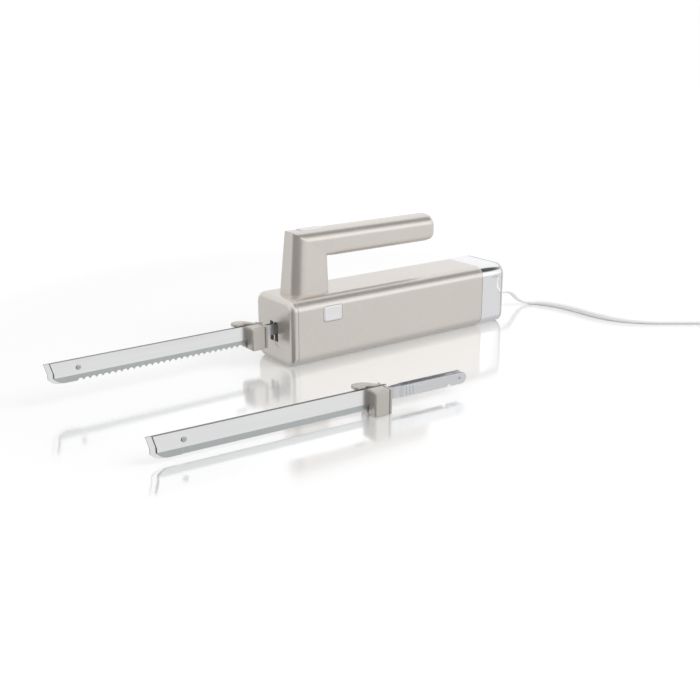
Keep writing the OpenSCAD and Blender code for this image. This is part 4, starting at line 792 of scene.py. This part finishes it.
def tang_skin(mesh):
    """The tang: a flat strip that leaves the guard beside the blade, steps out, has ribs and ends round"""
    inner, outer = -blade_gap / 2, -blade_gap / 2 - blade_t
    places = [tang_x0 + (ramp_x0 - tang_x0) * k / 2 for k in range(3)]
    places += [ramp_x0 + (ramp_x1 - ramp_x0) * k / 14 for k in range(1, 15)]
    places += [ramp_x1 + place for place in tang_places]
    end = tang_l - tang_h / 2
    places += [end + tang_h / 2 * math.sin(math.pi / 2 * k / 16) for k in range(16)]
    rings = []
    for x in places:
        half = tang_h / 2 if x <= end else math.sqrt(max((tang_h / 2) ** 2 - (x - end) ** 2, 0.01))
        out = tang_side(x)
        rings.append([(x, y - out, tang_rise + side * half) for y, side in
                      ((inner, -1), (outer, -1), (outer, 1), (inner, 1))])
    for face in loft(mesh, rings):
        face.material_index = flat if abs(face.normal.y) > 0.5 else dark_edge
    for k in range(rib_n):
        middle, face_y = ramp_x1 + rib_pitch * k + rib_w / 2, outer - tang_step
        loft(mesh, [[(middle + u * (rib_w / 2 - draft), face_y - rise, tang_rise + v * (rib_half - draft))
                     for u, v in ((-1, -1), (1, -1), (1, 1), (-1, 1))]
                    for rise, draft in ((0, 0), (rib_rise, rib_draft))], material=flat)


def rod_y(mesh, x, z, radius, y0, y1):
    """Adds a round rod along Y"""
    prism_y(mesh, circle(x, z, radius, 32), y0, y1)


def laid(piece, place, far):
    """Mirrors a piece of the pair to its far side where asked, and lays it at the pair's place"""
    move, turn = place
    if far:
        piece.data.transform(Matrix.Scale(-1, 4, (0, 1, 0)))
        piece.data.flip_normals()
    piece.data.transform(Matrix.Translation(move * mm) @ Matrix.Rotation(turn, 4, "Z"))
    piece.data.update()
    return piece


def blade_piece(name, place, far, fine, body, node):
    """A whole blade: its skin and tang, with the latch hole, the locating notch and the rivet's place"""
    length = blade_l if far else blade_l - tip_lead
    front = bmesh.new()
    blade_skin(front, length, fine)
    steel = made(name, front, blade_finishes, crease=5)
    opening = bmesh.new()
    if far:
        half = rivet_r + track_gap
        track = rounded(2 * (track_reach + half), 2 * half, half, 8)
        prism_y(opening, [(rivet_x + u, rivet_z + v) for u, v in track], *blade_cut)
    else:
        rod_y(opening, rivet_x, rivet_z, rivet_r + rivet_fit, *blade_cut)
    cut(steel, opening)
    back = bmesh.new()
    tang_skin(back)
    tang = made(name + "_tang", back, blade_finishes, crease=20)
    for x, z, radius in ((latch_x, tang_rise, tang_hole_r), (notch_x, tang_rise - tang_h / 2, notch_r)):
        tool = bmesh.new()
        rod_y(tool, x, z, radius, *tang_cut)
        cut(tang, tool)
    whole = bmesh.new()
    whole.from_mesh(steel.data)
    whole.from_mesh(tang.data)
    for part in (steel, tang):
        bpy.data.objects.remove(part)
    blade = evened(made(name, whole, blade_finishes), 14)
    return fitted(laid(blade, place, far), body, "blade_steel", node)


blade_piece("coarse_blade_near", mounted_place, False, False, "near_blade", "blade_near")
blade_piece("coarse_blade_far", mounted_place, True, False, "far_blade", "blade_far")
blade_piece("fine_blade_near", spare_place, False, True, "near_spare", "spare_blade_near")
blade_piece("fine_blade_far", spare_place, True, True, "far_spare", "spare_blade_far")

# Rivets: each holds a pair of blades together near the tips. It is fast in the near blade and slides
# in a slot of the far one, and both its heads are low and slightly domed.
rivet_steel = plain_finish("rivet_steel", (0.55, 0.55, 0.56), 0.3, metal=1, mottle=0.06, grain=3000)
rivet_dome = ((0, 2.2), (0.15, 2.2), (0.3, 1.9), (0.38, 1.2), (0.4, 0.5))
rivet_reach = 0.3


def rivet_piece(name, place, body, node):
    """A rivet with a head on the near blade's face and one behind the far blade"""
    face = blade_gap / 2 + blade_t
    rivet = bmesh.new()
    rod_y(rivet, rivet_x, rivet_z, rivet_r, -face, face + rivet_reach)
    for y, way in ((-face, -1), (face + rivet_reach, 1)):
        loft(rivet, [[(u, y + way * rise, v) for u, v in circle(rivet_x, rivet_z, r, 28)]
                     for rise, r in rivet_dome])
    return fitted(laid(made(name, rivet, [rivet_steel]), place, False), body, "rivet_steel", node)


rivet_piece("coarse_pair_rivet", mounted_place, "near_blade", "blade_rivet")
rivet_piece("fine_pair_rivet", spare_place, "near_spare", "spare_rivet")

# Guards: a painted plastic block moulded on the outside of each blade, where fingers hold it to fit
# it. The outer face has a broad bevel, and behind a groove the block ends in a thin rim.
guard_paint = painted_finish("guard_paint", (0.56, 0.53, 0.49), rough=0.36, metal=0.5)
guard_r, rim_l, rim_t = 2.4, 2.6, 0.7
groove_l, groove_t, groove_drop = 0.6, 1.1, 0.5
groove_x0, groove_back = 2, 0.4
bevel_w, bevel_t = 1.3, 0.9
face_bevels = ((bevel_t, 0), (bevel_t * 0.3, bevel_w * 0.55), (0, bevel_w), (0.12, bevel_w + 0.5))
groove_bevels, rim_bevels = ((0.1, 0), (0, 0.1)), ((0.5, 0), (0.15, 0.15), (0, 0.5))
horn_r, horn_t, horn_x, horn_w = 40, 2.6, -7, 6.6
horn_reach, horn_back, horn_gap, horn_end_r, horn_edge_r = 12, 3, 0.6, 3.4, 0.9
horn_places = (-7, -5.5, -4.2, -horn_back - 0.2, -horn_back + 0.2, 0, 3, 6, 8.5)


def guard_block(mesh, x0, x1, face, bevels, lower=0.0):
    """A block with rounded corners from the blade out to its face, with bevel steps (depth, inset)"""
    inner = -blade_gap / 2 - blade_t
    rings = []
    for y, inset in [(inner, 0)] + [(face + depth, inset) for depth, inset in bevels]:
        corner = min(max(guard_r - inset * 0.6, 0.8), (x1 - x0) / 2 - inset - 0.05)
        rings.append([((x0 + x1) / 2 + u, y, guard_h / 2 + v) for u, v in
                      rounded(x1 - x0 - 2 * inset, guard_h - 2 * inset - 2 * lower, corner, 8)])
    loft(mesh, rings)


def horn_skin(mesh):
    """The thumb horn: an arched tongue from the block's top, forward over both spines"""
    inner, outer = -blade_gap / 2 - blade_t, -blade_gap / 2 - blade_t - horn_w
    rings = []
    rounding = [-horn_reach + inset for _, inset in edge_round(horn_end_r, 8)[1:]]
    for x in (*rounding, *horn_places):
        near_end = max(horn_end_r - (x + horn_reach), 0)
        narrow = horn_end_r - math.sqrt(horn_end_r ** 2 - near_end ** 2)
        far_y = -inner if x < -horn_back else inner
        low_y, high_y = outer + narrow, far_y - narrow
        top = spine_z + horn_gap + horn_t - horn_r + math.sqrt(horn_r ** 2 - (x - horn_x) ** 2)
        width = high_y - low_y
        rings.append([(x, (low_y + high_y) / 2 + u, top - horn_t / 2 + v) for u, v in
                      rounded(width, horn_t - 0.05, min(horn_edge_r, width * 0.4), 5)])
    loft(mesh, rings)


def guard_piece(name, place, far, body, node):
    """A guard; the far one has the thumb horn"""
    face = -blade_gap / 2 - blade_t - guard_w
    block_end = guard_l - rim_l
    guard = bmesh.new()
    guard_block(guard, 0, block_end, face, face_bevels)
    guard_block(guard, groove_x0, guard_l - groove_back, face + rim_t + groove_t, groove_bevels, groove_drop)
    guard_block(guard, block_end + groove_l, guard_l, face + rim_t, rim_bevels)
    if far:
        horn_skin(guard)
    piece = evened(made(name, guard, [guard_paint]), 26)
    return fitted(laid(piece, place, far), body, "guard_plastic", node)


guard_piece("coarse_guard_near", mounted_place, False, "near_blade", "guard_near")
guard_piece("coarse_guard_far", mounted_place, True, "far_blade", "guard_far")
guard_piece("fine_guard_near", spare_place, False, "near_spare", "spare_guard_near")
guard_piece("fine_guard_far", spare_place, True, "far_spare", "spare_guard_far")

# Drive and motor: the parts inside keep their own solids. Their finishes are those of such a knife:
# stamped and die-cast metal, dark filled nylon for the carriers, natural nylon for the gear.
die_cast = plain_finish("die_cast", (0.56, 0.57, 0.58), 0.42, metal=1, mottle=0.05, grain=1800, relief=0.15)
zinc_plate = plain_finish("zinc_plate", (0.62, 0.63, 0.64), 0.3, metal=1, mottle=0.05, grain=2500)
spring_wire = plain_finish("spring_wire", (0.58, 0.59, 0.6), 0.26, metal=1, mottle=0.04, grain=4000)
ground_steel = brushed_finish("ground_steel", (0.68, 0.69, 0.7), 0.22, stretch=1, relief=0.06)
dark_nylon = plain_finish("dark_nylon", (0.1, 0.1, 0.105), 0.5, mottle=0.08, grain=2200, relief=0.1)
gear_nylon = plain_finish("gear_nylon", (0.8, 0.78, 0.7), 0.4, mottle=0.03, grain=1800, relief=0.06)
black_moulding = plain_finish("black_moulding", (0.03, 0.03, 0.032), 0.5, mottle=0.1, grain=2600, relief=0.12)
laminations = plain_finish("laminations", (0.3, 0.31, 0.33), 0.45, 1, 0.3, 3600, 2500, 0.3, (1, 0.02, 0.02))
winding = plain_finish("winding", (0.55, 0.25, 0.1), 0.3, 1, 0.25, 2400, 2600, 0.4, (0.1, 1, 1))
copper = plain_finish("copper", (0.72, 0.42, 0.26), 0.25, metal=1, mottle=0.06, grain=3000)
bronze = plain_finish("bronze", (0.6, 0.46, 0.26), 0.45, metal=1, mottle=0.1, grain=1600, relief=0.15)
carbon = plain_finish("carbon", (0.03, 0.03, 0.032), 0.6, mottle=0.15, grain=2500, relief=0.2)
film_case = plain_finish("film_case", (0.72, 0.56, 0.12), 0.3, mottle=0.03, grain=1200)
lead_blue = plain_finish("lead_blue", (0.07, 0.16, 0.46), 0.4, mottle=0.04, grain=1500)
inner_finishes = {
    die_cast: ("gear_frame_near", "gear_frame_far", "worm_bearing_block", "motor_front_bracket",
               "motor_rear_bracket"),
    zinc_plate: ("handle_screws", "frame_screws", "motor_bolts"),
    spring_wire: ("switch_spring", "release_spring_near", "release_spring_far", "latch_spring_near",
                  "latch_spring_far"),
    ground_steel: ("wheel_axle", "worm", "motor_shaft"),
    dark_nylon: ("carrier_near", "carrier_far"),
    gear_nylon: ("worm_wheel", "terminal_block"),
    black_moulding: ("micro_switch", "tang_guide", "cooling_fan", "cord_clamp"),
    laminations: ("armature_core", "stator_core"),
    winding: ("armature_windings", "field_coils"),
    copper: ("commutator",),
    bronze: ("shaft_bearings", "brush_holders"),
    carbon: ("carbon_brushes",),
    film_case: ("capacitor",),
    lead_blue: ("inner_leads",),
}
for finish, names in inner_finishes.items():
    for name in names:
        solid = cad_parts[name]
        solid.data.materials.clear()
        solid.data.materials.append(finish)

# Springs under the buttons: each stands on the housing's side of its button. The real springs get shorter
# as the button goes in, by its whole travel; here each only gets a mesh of its own, copied from its solid.
for name, joint, axis, foot_side in (("switch_spring", "switch_press", (0, 0, 1), -1),
                                     ("release_spring_near", "release_near_press", (0, 1, 0), 1),
                                     ("release_spring_far", "release_far_press", (0, 1, 0), -1)):
    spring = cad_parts[name]
    ends = [spring.matrix_world @ Vector(corner) for corner in spring.bound_box]
    low, high = (Vector(pick(end[k] for end in ends) for k in range(3)) for pick in (min, max))
    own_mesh(spring)

# Studio: a white table with a soft shine, a white room and one large soft lamp. Reflected rays pass
# through the table to the room's lower half, darkened close round the housing by a painted contact shadow.
# For them the room is dark high on the right and on the camera's side, which draws the dark bands on
# paint and steel.
table_reach = 4000
table_tone, table_rough = 0.8, 0.12
shine_share, shine_x0, shine_x1 = 0.56, 0.34, 0.66
glow_near, glow_far = 0.22, 0.5
# Painted contact shadow: how far round the housing's footprint it reaches, in metres, and how dark it gets.
painted_shadow_in, painted_shadow_out, painted_shadow_tone = -0.004, 0.012, 0.72
dark_way = (-0.67, -0.74)
floor_from, floor_to, floor_light, floor_dark = 0.64, 0.87, 0.76, 0.167
room_light = 0.72
lamp_w, lamp_h, lamp_power = 0.9, 0.7, 9


def sums(tree):
    """A function that adds a sum to a node tree; its terms are numbers or sockets"""
    def add(operation, *terms):
        node = tree.nodes.new("ShaderNodeMath")
        node.operation = operation
        for socket, term in zip(node.inputs, terms):
            if isinstance(term, (int, float)):
                socket.default_value = term
            else:
                tree.links.new(term, socket)
        return node.outputs[0]
    return add


def eased(tree, value, low, high, first, last):
    """A smooth step of a value, from one level to another"""
    node = tree.nodes.new("ShaderNodeMapRange")
    node.interpolation_type = "SMOOTHSTEP"
    for label, number in (("From Min", low), ("From Max", high), ("To Min", first), ("To Max", last)):
        node.inputs[label].default_value = number
    tree.links.new(value, node.inputs["Value"])
    return node.outputs["Result"]


table_mesh = bmesh.new()
table_mesh.faces.new([table_mesh.verts.new(Vector((x, y, 0)) * table_reach * mm)
                      for x, y in ((-1, -1), (1, -1), (1, 1), (-1, 1))])
table_gloss = bpy.data.materials.new("table_gloss")
table_gloss.use_nodes = True
tree = table_gloss.node_tree
nodes, links = tree.nodes, tree.links
nodes.clear()
add = sums(tree)
rays = nodes.new("ShaderNodeLightPath")
spot = nodes.new("ShaderNodeSeparateXYZ")
links.new(nodes.new("ShaderNodeNewGeometry").outputs["Position"], spot.inputs[0])
spot_x, spot_y = spot.outputs[0], spot.outputs[1]
reach = add("SQRT", add("ADD", add("MULTIPLY", spot_x, spot_x), add("MULTIPLY", spot_y, spot_y)))
# Painted contact shadow: close round the housing's footprint the table darkens what reflected rays see
# through it, which draws a dark line along the housing's lower edges.
beside = add("MAXIMUM", add("SUBTRACT", add("ABSOLUTE", spot_x), rear_x * mm),
             add("SUBTRACT", add("ABSOLUTE", spot_y), body_w / 2 * mm))
painted_contact_shadow = eased(tree, beside, painted_shadow_in, painted_shadow_out, painted_shadow_tone, 1)
matt = nodes.new("ShaderNodeBsdfDiffuse")
matt.inputs["Color"].default_value = (table_tone, table_tone, table_tone, 1)
glow = nodes.new("ShaderNodeEmission")
glow_level = eased(tree, reach, shine_x0, shine_x1, glow_near, glow_far)
links.new(add("MULTIPLY", rays.outputs["Is Camera Ray"], glow_level), glow.inputs["Strength"])
white = nodes.new("ShaderNodeAddShader")
links.new(matt.outputs["BSDF"], white.inputs[0])
links.new(glow.outputs["Emission"], white.inputs[1])
mirror = nodes.new("ShaderNodeBsdfGlossy")
mirror.inputs["Color"].default_value = (1, 1, 1, 1)
mirror.inputs["Roughness"].default_value = table_rough
shiny = nodes.new("ShaderNodeMixShader")
links.new(eased(tree, reach, shine_x0, shine_x1, shine_share, 0), shiny.inputs["Fac"])
links.new(white.outputs["Shader"], shiny.inputs[1])
links.new(mirror.outputs["BSDF"], shiny.inputs[2])
# Reflected rays pass through, tinted by the painted contact shadow.
clear = nodes.new("ShaderNodeBsdfTransparent")
links.new(painted_contact_shadow, clear.inputs["Color"])
either = nodes.new("ShaderNodeMixShader")
links.new(rays.outputs["Is Glossy Ray"], either.inputs["Fac"])
links.new(shiny.outputs["Shader"], either.inputs[1])
links.new(clear.outputs["BSDF"], either.inputs[2])
links.new(either.outputs["Shader"], nodes.new("ShaderNodeOutputMaterial").inputs["Surface"])
table = made("table", table_mesh, [table_gloss])

room = bpy.data.worlds.new("room")
room.use_nodes = True
bpy.context.scene.world = room
tree = room.node_tree
nodes, links = tree.nodes, tree.links
nodes.clear()
add = sums(tree)
rays = nodes.new("ShaderNodeLightPath")
way = nodes.new("ShaderNodeTexCoord")


def room_patch(direction, inner, outer, level):
    """A soft patch of the room round a direction, as a factor on its light"""
    dot = nodes.new("ShaderNodeVectorMath")
    dot.operation = "DOT_PRODUCT"
    dot.inputs[1].default_value = Vector(direction).normalized()
    links.new(way.outputs["Generated"], dot.inputs[0])
    start, end = math.cos(math.radians(outer)), math.cos(math.radians(inner))
    return eased(tree, dot.outputs["Value"], start, end, 1, level)


dark_high = room_patch((0.57, -0.36, 0.72), 10, 26, 0.1)
bright_low = room_patch((0.57, -0.8, 0.12), 6, 19, 1.4)
dark_near = room_patch((*dark_way, 0.1), 20, 44, 0.32)
above = add("MULTIPLY", add("MULTIPLY", dark_high, bright_low), dark_near)
along = nodes.new("ShaderNodeSeparateXYZ")
links.new(way.outputs["Generated"], along.inputs[0])
along_x, along_y, along_z = along.outputs
across = add("SQRT", add("ADD", add("MULTIPLY", along_x, along_x), add("MULTIPLY", along_y, along_y)))
facing = add("ADD", add("MULTIPLY", along_x, dark_way[0]), add("MULTIPLY", along_y, dark_way[1]))
heading = add("DIVIDE", facing, add("ADD", across, 0.001))
below = eased(tree, heading, floor_from, floor_to, floor_light, floor_dark)
upper = add("GREATER_THAN", along_z, 0)
dimmed = nodes.new("ShaderNodeBackground")
links.new(add("ADD", add("MULTIPLY", above, upper), add("MULTIPLY", below, add("SUBTRACT", 1, upper))),
          dimmed.inputs["Strength"])
soft = nodes.new("ShaderNodeBackground")
soft.inputs["Strength"].default_value = room_light
seen = nodes.new("ShaderNodeBackground")
for light in (dimmed, soft, seen):
    light.inputs["Color"].default_value = (1, 1, 1, 1)
unlit, whole = nodes.new("ShaderNodeMixShader"), nodes.new("ShaderNodeMixShader")
links.new(rays.outputs["Is Glossy Ray"], unlit.inputs["Fac"])
links.new(soft.outputs["Background"], unlit.inputs[1])
links.new(dimmed.outputs["Background"], unlit.inputs[2])
clear_way = add("MAXIMUM", rays.outputs["Is Camera Ray"], rays.outputs["Is Transmission Ray"])
links.new(clear_way, whole.inputs["Fac"])
links.new(unlit.outputs["Shader"], whole.inputs[1])
links.new(seen.outputs["Background"], whole.inputs[2])
links.new(whole.outputs["Shader"], nodes.new("ShaderNodeOutputWorld").inputs["Surface"])

lamp_place, lamp_aim = Vector((500, -900, 900)), Vector((0, 0, 40))
lamp_light = bpy.data.lights.new("soft_lamp", "AREA")
lamp_light.shape = "RECTANGLE"
lamp_light.size = lamp_w
lamp_light.size_y = lamp_h
lamp_light.energy = lamp_power
lamp = bpy.data.objects.new("soft_lamp", lamp_light)
lamp.location = lamp_place * mm
lamp.rotation_euler = (lamp_aim - lamp_place).to_track_quat("-Z", "Y").to_euler()
lamp.visible_glossy = False
bpy.context.scene.collection.objects.link(lamp)
bpy.context.scene.view_settings.view_transform = "Standard"
